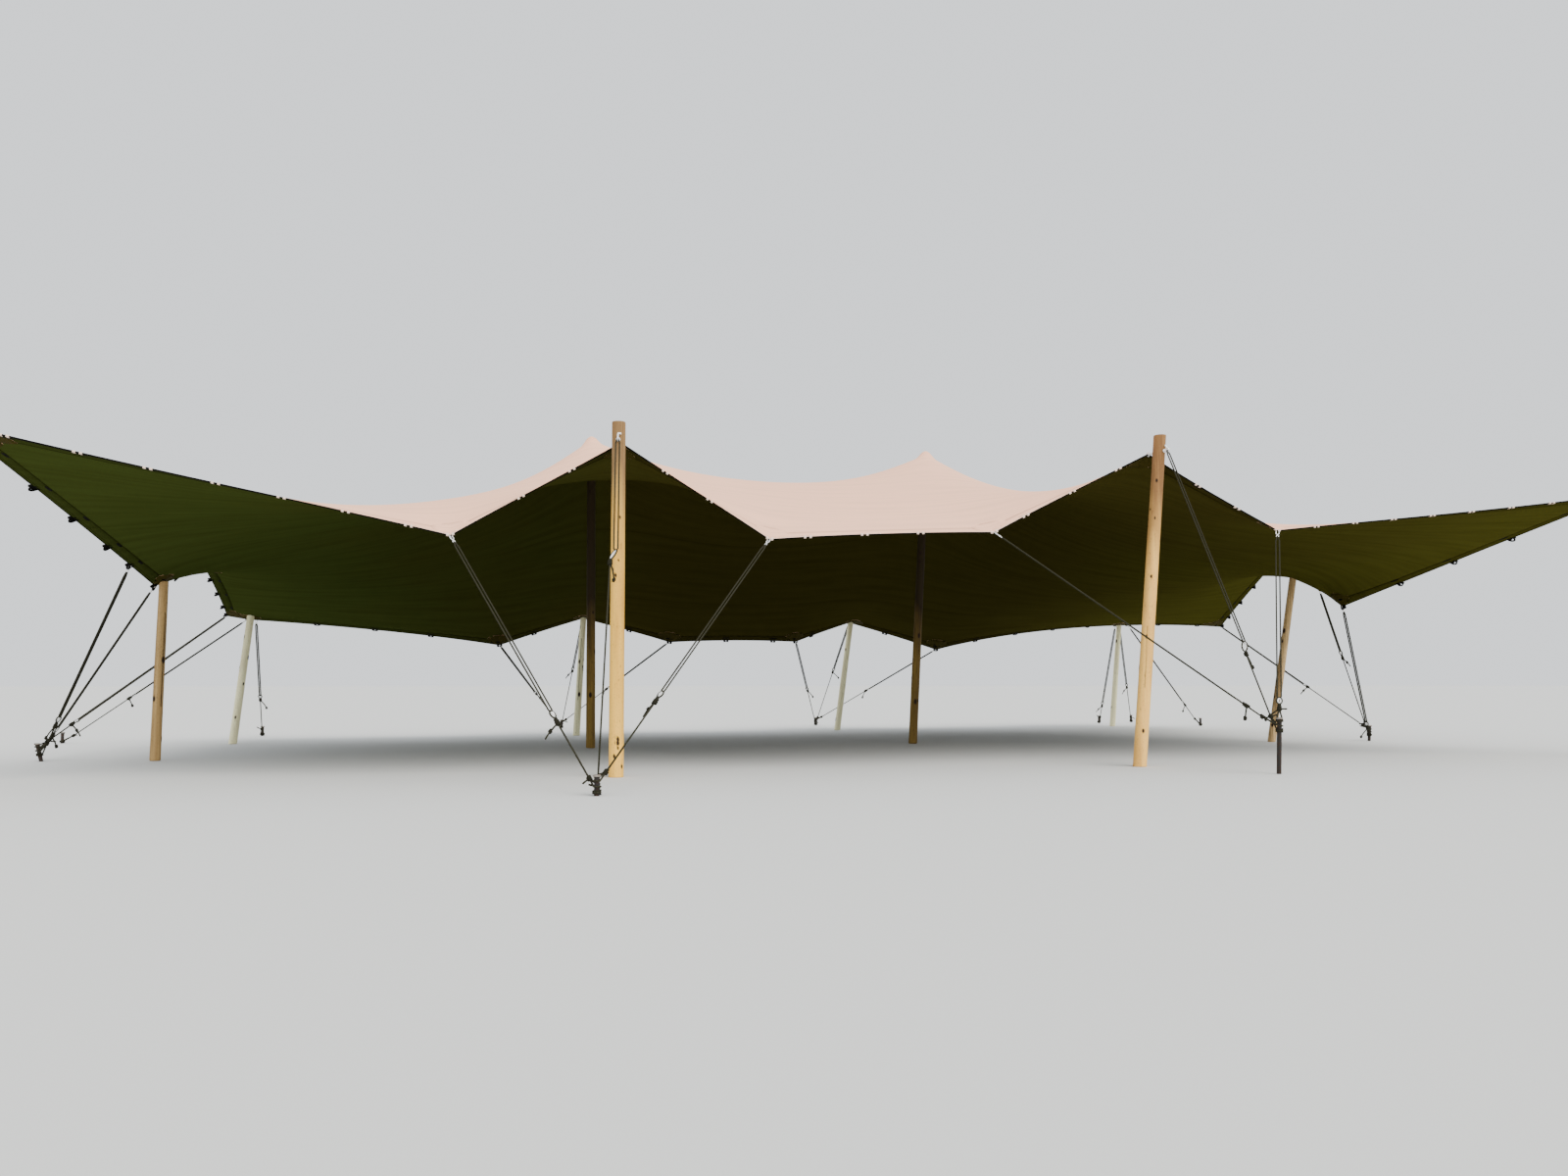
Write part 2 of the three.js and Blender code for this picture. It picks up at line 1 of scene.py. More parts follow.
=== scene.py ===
# %% [markdown]
# # A stretch tent, from its frame to its looks
# A stretch tent is one sheet of elastic fabric. Round timber poles push it up, ropes pull its hem
# down to steel stakes, and the pull between the two gives the sheet its saddle shapes.
# The CAD model is loaded first and stays where it is. Places and sizes are read from it, or are
# the numbers that it was built with, so the new pieces need no fitting.

import math
import random

import bmesh
import bpy
import numpy as np
from mathutils import Matrix, Vector, noise
from mathutils.bvhtree import BVHTree


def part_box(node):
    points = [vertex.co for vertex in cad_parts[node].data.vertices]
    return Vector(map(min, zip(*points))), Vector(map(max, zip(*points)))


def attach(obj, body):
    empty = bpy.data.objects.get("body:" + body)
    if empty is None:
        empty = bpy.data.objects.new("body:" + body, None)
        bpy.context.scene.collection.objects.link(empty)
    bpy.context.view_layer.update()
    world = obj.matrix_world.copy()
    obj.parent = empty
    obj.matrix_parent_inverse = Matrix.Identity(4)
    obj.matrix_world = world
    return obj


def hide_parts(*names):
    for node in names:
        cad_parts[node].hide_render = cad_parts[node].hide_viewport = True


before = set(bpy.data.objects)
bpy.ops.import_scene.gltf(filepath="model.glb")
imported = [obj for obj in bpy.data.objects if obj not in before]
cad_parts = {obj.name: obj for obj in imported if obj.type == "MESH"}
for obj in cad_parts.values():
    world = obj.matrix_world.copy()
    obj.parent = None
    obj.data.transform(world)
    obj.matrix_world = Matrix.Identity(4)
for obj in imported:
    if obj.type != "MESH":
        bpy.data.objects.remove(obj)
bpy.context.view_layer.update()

# %% [markdown]
# ## The camera
# The photograph was taken from low down in front of the tent, left of its middle, with the lens
# turned a little to the right and tilted up. A camera could be fitted by eye, but here its place
# was solved from the poles' feet and the hem, so it is set with plain numbers.

# %% Place the camera
PITCH = 4.62
HEADING = 14.5
camera_data = bpy.data.cameras.new("photo_camera")
camera_data.lens = 27
camera_data.sensor_width = 36
camera_data.clip_end = 400
camera = bpy.data.objects.new("photo_camera", camera_data)
camera.location = (-4.0, -15.0, 0.794)
camera.rotation_euler = (math.radians(90 + PITCH), 0, math.radians(-HEADING))
bpy.context.scene.collection.objects.link(camera)
bpy.context.scene.camera = camera
print("camera at", tuple(round(x, 3) for x in camera.location))

# %% [markdown]
# ## Helpers for all pieces
# Every piece is shaped in a bmesh with operators, then written to an object that sits at the
# origin, so its place is in its mesh. One helper does that ending: it merges doubles, turns the
# faces outwards, sets smooth shading, gives the materials, and hides the CAD nodes it stands for.

# %% Write a bmesh to an object
UP = Vector((0, 0, 1))
MERGE = 1e-5


def finished(bm, name, materials, replaces=(), smooth=35, outward=True):
    bmesh.ops.remove_doubles(bm, verts=bm.verts, dist=MERGE)
    if outward:
        bmesh.ops.recalc_face_normals(bm, faces=bm.faces)
    mesh = bpy.data.meshes.new(name)
    bm.to_mesh(mesh)
    bm.free()
    piece = bpy.data.objects.new(name, mesh)
    bpy.context.scene.collection.objects.link(piece)
    for material in materials:
        mesh.materials.append(material)
    mesh.shade_smooth()
    if smooth:
        mesh.set_sharp_from_angle(angle=math.radians(smooth))
    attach(piece, "root")
    if replaces:
        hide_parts(*replaces)
    return piece


# %% [markdown]
# Ropes, hooks and rings all have a round section that follows a line. A curve with a bevel would
# do it too, but here a circle is extruded from point to point and turned to face along the line.
# Each vertex keeps how far along and how far round it lies, and that becomes the UV map which a
# rope's braid follows.

# %% Sweep a round section along a path
def sweep(bm, path, radius, sides=8, closed=False):
    path = [Vector(p) for p in path]
    count = len(path)
    uv = bm.loops.layers.uv.verify()

    def heading(k):
        before = path[(k - 1) % count] if closed or k > 0 else path[k]
        after = path[(k + 1) % count] if closed or k < count - 1 else path[k]
        return (after - before).normalized()

    def marks(verts, centre, turn, along):
        x, y = turn @ Vector((1, 0, 0)), turn @ Vector((0, 1, 0))
        for v in verts:
            off = v.co - centre
            place[v] = (math.atan2(off.dot(y), off.dot(x)) / math.tau % 1, along)

    place, along = {}, 0.0
    turn = UP.rotation_difference(heading(0))
    ring = bmesh.ops.create_circle(bm, cap_ends=not closed, segments=sides, radius=radius)["verts"]
    start = Matrix.Translation(path[0]) @ turn.to_matrix().to_4x4()
    bmesh.ops.transform(bm, matrix=start, verts=ring)
    marks(ring, path[0], turn, along)
    first = edges = list(dict.fromkeys(e for v in ring for e in v.link_edges))
    made = list(ring[0].link_faces)
    for k in range(1, count):
        new = bmesh.ops.extrude_edge_only(bm, edges=edges)["geom"]
        ring = [e for e in new if isinstance(e, bmesh.types.BMVert)]
        edges = [e for e in new if isinstance(e, bmesh.types.BMEdge) and e.is_boundary]
        made += [e for e in new if isinstance(e, bmesh.types.BMFace)]
        step = heading(k - 1).rotation_difference(heading(k))
        swing = Matrix.Translation(path[k]) @ step.to_matrix().to_4x4()
        bmesh.ops.transform(bm, matrix=swing @ Matrix.Translation(-path[k - 1]), verts=ring)
        turn = step @ turn
        along += (path[k] - path[k - 1]).length
        marks(ring, path[k], turn, along)
    if closed:
        made += bmesh.ops.bridge_loops(bm, edges=first + edges)["faces"]
    else:
        made += bmesh.ops.holes_fill(bm, edges=edges, sides=0)["faces"]
    for face in made:
        turns = [place[loop.vert][0] for loop in face.loops]
        wraps = max(turns) - min(turns) > 0.5
        for loop, share in zip(face.loops, turns):
            loop[uv].uv = (share + 1 if wraps and share < 0.5 else share, place[loop.vert][1])
    return made


# %% [markdown]
# A ring is a small circle spun all the way round an axis. The full spin merges its last section
# with its first. The same spin with a push along the axis makes a coil of rope.

# %% Rings and coils by spinning
def spun(bm, place, radius, wire, turns=1.0, pitch=0.0, steps=20, sides=8):
    full = pitch == 0 and turns == 1
    seat = place @ Matrix.Translation((radius, 0, 0)) @ Matrix.Rotation(math.pi / 2, 4, "X")
    ring = bmesh.ops.create_circle(bm, cap_ends=not full, segments=sides, radius=wire)["verts"]
    bmesh.ops.transform(bm, matrix=seat, verts=ring)
    section = dict.fromkeys(e for v in ring for e in v.link_edges) if full else ring[0].link_faces
    axis = (place.to_3x3() @ UP).normalized()
    bmesh.ops.spin(bm, geom=list(section), cent=place.translation, axis=axis,
                   angle=math.tau * turns, steps=round(steps * turns), dvec=axis * pitch / steps,
                   use_merge=full, use_duplicate=False)


def facing(at, along):
    """A matrix whose Z runs along a direction, set at a point."""
    z = Vector(along).normalized()
    side = UP.cross(z)
    x = (side if side.length > 1e-3 else Vector((1, 0, 0))).normalized()
    return Matrix.Translation(at) @ Matrix((x, z.cross(x), z)).transposed().to_4x4()


# %% [markdown]
# ## Materials
# Each finish is a small node tree on the Principled shader. A few helpers keep the trees readable:
# they add a node with its values, do sums, mix two colours, make noise, and set colour and bump.

# %% Node helpers
class Tree:
    def __init__(self, name, roughness, metallic=0.0, gloss=0.5):
        self.material = bpy.data.materials.new(name)
        self.material.use_nodes = True
        self.nodes = self.material.node_tree.nodes
        self.links = self.material.node_tree.links
        self.shader = self.nodes["Principled BSDF"]
        self.shader.inputs["Roughness"].default_value = roughness
        self.shader.inputs["Metallic"].default_value = metallic
        self.shader.inputs["Specular IOR Level"].default_value = gloss
        coordinates = self.nodes.new("ShaderNodeTexCoord")
        self.object, self.uv = coordinates.outputs["Object"], coordinates.outputs["UV"]

    def put(self, value, socket):
        if isinstance(value, bpy.types.NodeSocket):
            self.links.new(value, socket)
        else:
            socket.default_value = (*value, 1) if socket.type == "RGBA" else value

    def add(self, kind, **inputs):
        node = self.nodes.new(kind)
        for key, value in inputs.items():
            self.put(value, node.inputs[key])
        return node.outputs[0]

    def maths(self, operation, a, b=0.0):
        node = self.nodes.new("ShaderNodeMath")
        node.operation = operation
        self.put(a, node.inputs[0])
        self.put(b, node.inputs[1])
        return node.outputs[0]

    def plus(self, a, b):
        return self.maths("ADD", a, b)

    def minus(self, a, b):
        return self.maths("SUBTRACT", a, b)

    def times(self, a, b):
        return self.maths("MULTIPLY", a, b)

    def mix(self, share, a, b):
        node = self.nodes.new("ShaderNodeMix")
        node.data_type = "RGBA"
        self.put(share, node.inputs[0])
        self.put(a, node.inputs[6])
        self.put(b, node.inputs[7])
        return node.outputs[2]

    def parts(self, coordinates):
        return self.add("ShaderNodeSeparateXYZ", Vector=coordinates).node.outputs

    def stretched(self, coordinates, scale):
        return self.add("ShaderNodeMapping", Vector=coordinates, Scale=scale)

    def noise(self, coordinates, scale, detail, roughness=0.5):
        """Noise of one size, or stretched where three scales are given."""
        if isinstance(scale, tuple):
            coordinates, scale = self.stretched(coordinates, scale), 1.0
        return self.add("ShaderNodeTexNoise", Vector=coordinates, Scale=scale, Detail=detail,
                        Roughness=roughness)

    def ramp(self, value, low, high):
        node = self.nodes.new("ShaderNodeMapRange")
        self.put(value, node.inputs["Value"])
        node.inputs["From Min"].default_value = low
        node.inputs["From Max"].default_value = high
        return node.outputs["Result"]

    def near(self, value, target, width):
        """1 where the value is within a width of the target, else 0."""
        off = self.maths("ABSOLUTE", self.minus(value, target))
        return self.maths("LESS_THAN", off, width)

    def colour(self, value):
        self.put(value, self.shader.inputs["Base Color"])

    def bump(self, height, distance, strength=1.0):
        node = self.nodes.new("ShaderNodeBump")
        node.inputs["Strength"].default_value = strength
        node.inputs["Distance"].default_value = distance
        self.put(height, node.inputs["Height"])
        self.links.new(node.outputs[0], self.shader.inputs["Normal"])


# %% [markdown]
# The canopy's fabric is a coated knit: matt, pinkish sand above and dark olive below, with faint
# streaks along it. Across the cloth the olive carries painted light: a painted greenish bounce
# light at the left, painted shade in the middle, and painted light again at the right, where the
# olive is lighter. It is sewn from panels, and its doubled hem has two rows of stitches. Those
# lines must follow the cloth, so they are drawn from its UV map, which holds the flat cloth in
# metres: the distance from the hem is the smallest of four sums.

# %% Canopy fabric
CELL = 0.333
CELLS_ACROSS, CELLS_DEEP = 50, 28
CLOTH = (CELLS_ACROSS * CELL, CELLS_DEEP * CELL)
HEM_DEPTH = 0.13
PANEL, STITCH, KNIT = 1.52, 0.012, 110.0
# the painted shade of the middle and the painted light of the right come in over these spans
MIDDLE_PAINTED_SHADE, RIGHT_PAINTED_LIGHT = (3.5, 8.0), (14.0, 18.0)  # metres across the cloth over which each comes in


def fabric(name, colours, thread, roughness, gloss, line_share):
    left, middle, right = colours
    tree = Tree(name, roughness, gloss=gloss)
    x, y, _ = tree.parts(tree.uv)
    from_side = tree.maths("MINIMUM", x, tree.minus(CLOTH[0], x))
    from_front = tree.maths("MINIMUM", y, tree.minus(CLOTH[1], y))
    from_hem = tree.maths("MINIMUM", from_side, from_front)
    # The three colours blend across the cloth. On the olive sides this is painted light: a greenish bounce
    # at the left, painted shade in the middle, lighter at the right.
    place = tree.plus(x, tree.times(tree.noise(tree.uv, 0.5, 2.0), 4.0))
    painted_bounce_and_shade = tree.mix(tree.ramp(place, *MIDDLE_PAINTED_SHADE), left, middle)
    broad_colour = tree.mix(tree.ramp(place, *RIGHT_PAINTED_LIGHT), painted_bounce_and_shade, right)
    streaks = tree.ramp(tree.noise(tree.uv, (0.8, 9, 1), 5.0), 0.4, 0.75)
    flecked = tree.mix(tree.times(streaks, 0.28), broad_colour, thread)
    along = tree.maths("FRACT", tree.maths("DIVIDE", tree.plus(x, y), STITCH))
    dashes = tree.plus(tree.times(tree.maths("LESS_THAN", along, 0.6), 0.5), 0.5)
    inner_row = tree.near(from_hem, HEM_DEPTH - 0.010, 0.0035)
    outer_row = tree.near(from_hem, 0.034, 0.0025)
    stitches = tree.times(tree.maths("MAXIMUM", inner_row, outer_row), dashes)
    seam = tree.near(tree.maths("FRACT", tree.maths("DIVIDE", y, PANEL)), 0.5, 0.006)
    lines = tree.maths("MAXIMUM", stitches, tree.times(seam, 0.25))
    tree.colour(tree.mix(tree.times(lines, line_share), flecked, thread))
    weave = tree.add("ShaderNodeTexWave", Vector=tree.uv, Scale=KNIT)
    across = tree.add("ShaderNodeTexWave", Vector=tree.stretched(tree.uv, (0, 1, 1)), Scale=KNIT)
    tree.bump(tree.minus(tree.times(tree.plus(weave, across), 0.2), lines), 0.0015, 0.4)
    return tree.material


SAND = [(1.0, 0.585, 0.395), (1.0, 0.580, 0.395), (1.0, 0.590, 0.405)]
# Left, middle and right: in OLIVE and FACING the greenish left is painted bounce light, the darker middle
# is painted shade and the lighter right is painted light.
OLIVE = [(0.046, 0.061, 0.0130), (0.050, 0.043, 0.0090), (0.062, 0.059, 0.0095)]
FACING = [(0.036, 0.046, 0.0100), (0.038, 0.032, 0.0070), (0.048, 0.045, 0.0072)]
sand = fabric("canopy_sand", SAND, (0.62, 0.39, 0.28), 0.9, 0.1, 0.5)
olive = fabric("canopy_olive", OLIVE, (0.014, 0.012, 0.001), 0.95, 0.0, 0.9)
facing_olive = fabric("hem_olive", FACING, (0.008, 0.007, 0.001), 0.95, 0.0, 0.9)
# This pale cloth is the sand lightened: a painted highlight on the welt's top and on the front tabs.
painted_highlight_sand = fabric("hem_painted_highlight", [(0.90, 0.70, 0.58)] * 3, (0.72, 0.56, 0.44), 0.8, 0.2, 0.3)
print("fabric materials", sand.name, olive.name, facing_olive.name, painted_highlight_sand.name)

# %% [markdown]
# The webbing that edges the hem is dark and ribbed. On the welt's edge and lower side, under the
# patches and on the side tabs, that dark is painted shade. The guys are black braided rope with a
# few paler threads, which are partly a painted highlight standing in for the glints on the braid.
# Both patterns follow the piece, so they read its UV map as well.

# %% Webbing and rope
def webbing_material(name, valley, rib, worn):
    tree = Tree(name, 0.9, gloss=0.05)
    ribs = tree.add("ShaderNodeTexWave", Vector=tree.uv, Scale=60.0, Distortion=1.0)
    rubbed = tree.times(tree.ramp(tree.noise(tree.object, 7.0, 4.0), 0.5, 0.8), 0.4)
    tree.colour(tree.mix(rubbed, tree.mix(ribs, valley, rib), worn))
    tree.bump(ribs, 0.001)
    return tree.material


def rope_material():
    tree = Tree("rope_black", 0.85, gloss=0.12)
    round_it, along, _ = tree.parts(tree.uv)
    round_it, along = tree.times(round_it, 3.0), tree.times(along, 55.0)
    one = tree.maths("SINE", tree.times(tree.plus(along, round_it), math.tau))
    two = tree.maths("SINE", tree.times(tree.minus(along, round_it), math.tau))
    braid = tree.ramp(tree.maths("MAXIMUM", one, two), -1, 1)
    # The paler threads are partly a painted highlight, standing in for the glints on the braid.
    threads_and_glints = tree.times(tree.ramp(two, 0.88, 0.96), 0.4)
    dark = tree.mix(braid, (0.006, 0.006, 0.003), (0.032, 0.030, 0.018))
    tree.colour(tree.mix(threads_and_glints, dark, (0.13, 0.13, 0.08)))
    tree.bump(braid, 0.0012)
    return tree.material


DARK_TONES = (0.002, 0.002, 0.0015), (0.007, 0.006, 0.005), (0.016, 0.014, 0.010)
BROWN_TONES = (0.040, 0.032, 0.005), (0.055, 0.044, 0.007), (0.030, 0.022, 0.005)
# Besides the loops, this dark stands for painted shade on the welt's edge and lower side, under the
# patches and on the side tabs.
webbing = webbing_material("webbing_dark_and_painted_shade", *DARK_TONES)
brown_webbing = webbing_material("webbing_brown", *BROWN_TONES)
rope_black = rope_material()
print("webbing and rope", webbing.name, rope_black.name)

# %% [markdown]
# The poles are peeled round timber. The grain runs up the pole, so the noise that makes it is
# stretched along Z. Knots and drying cracks sit at places that the pole's shape also has, so the
# mesh carries them as an attribute, and the material darkens where that is high. From a level
# upwards the colour turns darker: a tall pole is darker towards its head, and the dark top of an
# inner pole is painted shade from the canopy above it.

# %% Timber
KNOT_COLOUR = (0.022, 0.010, 0.005)


def timber(name, light, mid, dark, top_colour=None, level=2.35):
    tree = Tree(name, 0.75, gloss=0.25)
    streaks = tree.noise(tree.object, (60, 60, 1.4), 6.0, 0.6)
    broad = tree.noise(tree.object, (9, 9, 0.8), 3.0)
    fine = tree.noise(tree.object, (150, 150, 45), 2.0)
    specks = tree.noise(tree.object, (45, 45, 16), 2.0)
    grain = tree.ramp(streaks, 0.35, 0.65)
    clear, broad_colour = tree.mix(grain, light, mid), tree.mix(0.35, mid, dark)
    body = tree.mix(tree.ramp(broad, 0.45, 0.75), clear, broad_colour)
    # From a level up the colour turns to the top colour: darker towards a tall pole's head, and painted
    # shade under the canopy on the inner poles.
    if top_colour:
        uneven = tree.plus(tree.parts(tree.object)[2], tree.times(broad, 0.8))
        darker_top = tree.mix(grain, top_colour, tree.mix(0.45, top_colour, dark))
        body = tree.mix(tree.ramp(uneven, level, level + 0.75), body, darker_top)
    speckled = tree.mix(tree.times(tree.ramp(fine, 0.58, 0.72), 0.30), body, dark)
    flecked = tree.mix(tree.times(tree.ramp(specks, 0.66, 0.78), 0.6), speckled, dark)
    marks = tree.nodes.new("ShaderNodeAttribute")
    marks.attribute_name = "knot"
    knot = tree.ramp(marks.outputs["Fac"], 0.18, 0.55)
    tree.colour(tree.mix(knot, flecked, KNOT_COLOUR))
    tree.bump(tree.minus(streaks, tree.times(knot, 1.4)), 0.002, 0.6)
    return tree.material


def end_grain():
    tree = Tree("timber_end", 0.85)
    rings = tree.add("ShaderNodeTexWave", Vector=tree.uv, Scale=38.0, Distortion=1.5, Detail=2.0)
    rings.node.wave_type = "RINGS"
    rings.node.rings_direction = "Z"
    tree.colour(tree.mix(rings, (0.50, 0.35, 0.19), (0.27, 0.17, 0.08)))
    tree.bump(rings, 0.0008)
    return tree.material


WOOD_TONES = {
    "ochre": ((1.0, 0.62, 0.110), (0.92, 0.50, 0.080), (0.10, 0.035, 0.012), (0.29, 0.175, 0.070)),
    "tan": ((1.0, 0.62, 0.165), (0.93, 0.51, 0.125), (0.10, 0.032, 0.012), (0.30, 0.155, 0.055)),
    "ruddy": ((0.60, 0.39, 0.16), (0.42, 0.26, 0.10), (0.05, 0.020, 0.008)),
    "rosy": ((0.80, 0.55, 0.26), (0.40, 0.26, 0.115), (0.040, 0.016, 0.006)),
    "pale": ((1.0, 0.97, 0.62), (0.95, 0.88, 0.54), (0.20, 0.12, 0.06)),
    # The inner poles are the same wood as the rest. Their dark brown and their darker top above 1.55 m are
    # painted shade under the canopy.
    "brown": ((0.32, 0.20, 0.045), (0.21, 0.13, 0.028), (0.03, 0.012, 0.005), (0.030, 0.021, 0.006), 1.55),
}
WOODS = {name: timber(f"timber_{name}", *tones) for name, tones in WOOD_TONES.items()}
wood_end = end_grain()
print("woods", sorted(WOODS))

# %% [markdown]
# The stakes are old driven steel: dark and rusty on the shaft, and pale on the head, where the pale
# is a painted highlight of the light on its flat top. The hooks, bolts and links are galvanised.

# %% Metals
def metal(name, clean, dirty, low, high, roughness, metallic):
    tree = Tree(name, roughness, metallic)
    patches, pits = tree.noise(tree.object, 42.0, 6.0), tree.noise(tree.object, 260.0, 2.0)
    cover = tree.ramp(patches, low, high)
    tree.colour(tree.mix(cover, clean, dirty))
    tree.put(tree.plus(tree.times(cover, 0.3), roughness), tree.shader.inputs["Roughness"])
    tree.bump(tree.plus(patches, pits), 0.0012, 0.6)
    return tree.material


stake_dark = metal("steel_rusty", (0.012, 0.011, 0.010), (0.050, 0.022, 0.010), 0.40, 0.70, 0.60, 0.20)
# The pale head is a painted highlight of the light on its flat top.
stake_head = metal("steel_head_painted_highlight", (0.30, 0.27, 0.24), (0.14, 0.09, 0.06), 0.52, 0.78, 0.38, 0.50)
galvanised = metal("steel_galvanised", (0.92, 0.92, 0.91), (0.66, 0.67, 0.67), 0.50, 0.75, 0.30, 0.55)
print("metals", stake_dark.name, stake_head.name, galvanised.name)

# %% [markdown]
# ## The shape of the canopy
# The sheet's shape isn't drawn, it is found. The cloth is a net of threads: the poles and ropes
# hold some of its knots, and each other knot rests where the pulls of its threads balance. A
# cloth simulation would get there in many steps, but with a fixed pull for each length the balance
# is one set of linear equations, which numpy solves at once and always in the same way.
# Here are the places where the net is held, cell by cell along each side of the cloth, with the
# pull of the hem's webbing from there on.

# %% Where the canopy is held
FRONT = [
    (0, (-7.900, -4.890, 2.760), 12.7), (11, (-4.250, -5.050, 2.000), 8.1),
    (16, (-2.835, -4.790, 2.890), 8.1), (21, (-1.560, -5.050, 2.050), 8.1),
    (27, (0.580, -5.050, 2.180), 8.1), (32, (2.370, -4.770, 3.050), 8.1),
    (37, (3.610, -5.050, 2.295), 12.7), (50, (8.000, -5.000, 2.840), 0),
]
BACK = [
    (0, (-7.300, 2.200, 1.700), 10.9), (1, (-7.020, 2.080, 1.650), 10.9),
    (11, (-3.720, 2.700, 1.350), 11.5), (15, (-2.470, 3.260, 1.790), 11.5),
    (19, (-1.140, 3.200, 1.435), 11.5), (25, (0.980, 3.500, 1.470), 11.5),
    (29, (2.130, 4.230, 1.830), 11.5), (33, (3.580, 3.900, 1.370), 5.2),
    (44, (7.530, 4.700, 1.870), 5.2), (50, (8.550, 3.000, 1.780), 0),
]
LEFT = [
    (0, (-7.900, -4.890, 2.760), 60), (12, (-7.270, -1.610, 1.800), 30),
    (20, (-7.204, 0.300, 2.178), 30), (28, (-7.300, 2.200, 1.700), 0),
]
RIGHT = [
    (0, (8.000, -5.000, 2.840), 60), (11, (6.890, -2.000, 1.790), 30),
    (18, (7.380, -0.150, 2.650), 30), (28, (8.550, 3.000, 1.780), 0),
]
PEAKS = [((16, 15), (-2.700, -0.360, 3.860)), ((29, 15), (1.760, -0.340, 3.900))]
SIDE_PROP = ((49, 13), (6.700, -1.300, 2.215))
print("holds along the hem", len(FRONT) + len(BACK) + len(LEFT) + len(RIGHT))

# %% [markdown]
# The net has a line for every whole cell and finer lines round each peak. The cloth pulls harder
# from front to back than from side to side, and much harder close to the peaks, where the poles
# stretch it most.

# %% Pulls in the net
PEAK_CAP, PEAK_DROP = 0.2, 0.050
PULL_ACROSS, PULL_DEEP = 0.58, 1.0
PEAK_PULL, PEAK_REACH = 60, 0.370


def net_lines(cells, peaks):
    fine = {peak + step for peak in peaks for step in (-0.5, -PEAK_CAP, PEAK_CAP, 0.5)}
    return np.array(sorted(set(range(cells + 1)) | fine), float)


def share_width(lines):
    gaps = np.diff(lines)
    return (np.append(0, gaps) + np.append(gaps, 0)) / 2


def peak_factor(u, v):
    away = [CELL * np.hypot(u - at[0], v - at[1]) for at, _ in PEAKS]
    return 1 + sum(PEAK_PULL * np.exp(-((far / PEAK_REACH) ** 2)) for far in away)


def hem_pull(holds, cells):
    starts, pulls = [hold[0] for hold in holds], np.array([hold[2] for hold in holds])
    return pulls[np.searchsorted(starts, cells, side="right") - 1] / CELL


NET_U = net_lines(CELLS_ACROSS, [at[0] for at, _ in PEAKS])
NET_V = net_lines(CELLS_DEEP, [PEAKS[0][0][1]])
middle_u, middle_v = (NET_U[:-1] + NET_U[1:]) / 2, (NET_V[:-1] + NET_V[1:]) / 2
across = PULL_ACROSS * peak_factor(middle_u[None, :], NET_V[:, None]) * share_width(NET_V)[:, None]
across[0] += hem_pull(FRONT, NET_U[:-1])
across[-1] += hem_pull(BACK, NET_U[:-1])
deep = PULL_DEEP * peak_factor(NET_U[None, :], middle_v[:, None]) * share_width(NET_U)[None, :]
deep[:, 0] += hem_pull(LEFT, NET_V[:-1])
deep[:, -1] += hem_pull(RIGHT, NET_V[:-1])
print("net", len(NET_U), "by", len(NET_V), "lines")

# %% [markdown]
# Each thread adds its pull to the balance of its two knots. The held knots move to the right-hand
# side of the equations, and the rest are solved for all three axes together.

# %% Balance the net
KNOTS = np.arange(len(NET_U) * len(NET_V)).reshape(len(NET_V), len(NET_U))
held = {}
for holds, row in ((FRONT, KNOTS[0]), (BACK, KNOTS[-1])):
    held.update({row[np.searchsorted(NET_U, cell)]: at for cell, at, _ in holds})
for holds, column in ((LEFT, KNOTS[:, 0]), (RIGHT, KNOTS[:, -1])):
    held.update({column[np.searchsorted(NET_V, cell)]: at for cell, at, _ in holds})
(u, v), top = SIDE_PROP
held[KNOTS[np.searchsorted(NET_V, v), np.searchsorted(NET_U, u)]] = top
for (u, v), top in PEAKS:
    i, j = np.searchsorted(NET_U, u), np.searchsorted(NET_V, v)
    for k, l in np.ndindex(3, 3):
        du, dv = (k - 1) * PEAK_CAP, (l - 1) * PEAK_CAP
        drop = PEAK_DROP * (du * du + dv * dv) / (2 * PEAK_CAP ** 2)
        held[KNOTS[j + l - 1, i + k - 1]] = (top[0] + du * CELL, top[1] + dv * CELL, top[2] - drop)

balance = np.zeros((KNOTS.size, KNOTS.size))
for pulls, a, b in ((across / np.diff(NET_U)[None, :], KNOTS[:, :-1], KNOTS[:, 1:]),
                    (deep / np.diff(NET_V)[:, None], KNOTS[:-1], KNOTS[1:])):
    q, a, b = pulls.ravel(), a.ravel(), b.ravel()
    for row, column, sign in ((a, a, 1), (b, b, 1), (a, b, -1), (b, a, -1)):
        np.add.at(balance, (row, column), sign * q)
fixed = np.array(sorted(held))
free = np.setdiff1d(KNOTS.ravel(), fixed)
places = np.zeros((KNOTS.size, 3))
places[fixed] = [held[k] for k in fixed]
known = -balance[np.ix_(free, fixed)] @ places[fixed]
places[free] = np.linalg.solve(balance[np.ix_(free, free)], known)
net = places.reshape(*KNOTS.shape, 3)
print("net from", net.min((0, 1)).round(3), "to", net.max((0, 1)).round(3))

# %% [markdown]
# The net's cells are a third of a metre, too coarse to show. A smooth curve through the knots of
# each line fills them in. Among the fine lines at a peak its slope is the harmonic mean of the two
# sides, which never overshoots. Only the hem breaks its direction, at the points where something
# holds it, so the difference between the smooth hem and a broken one is faded in over a cell.

# %% Fill in the net smoothly
FINE_GAP = 0.75
CELL_LINES, PEAK_CELL_LINES = 5, 10


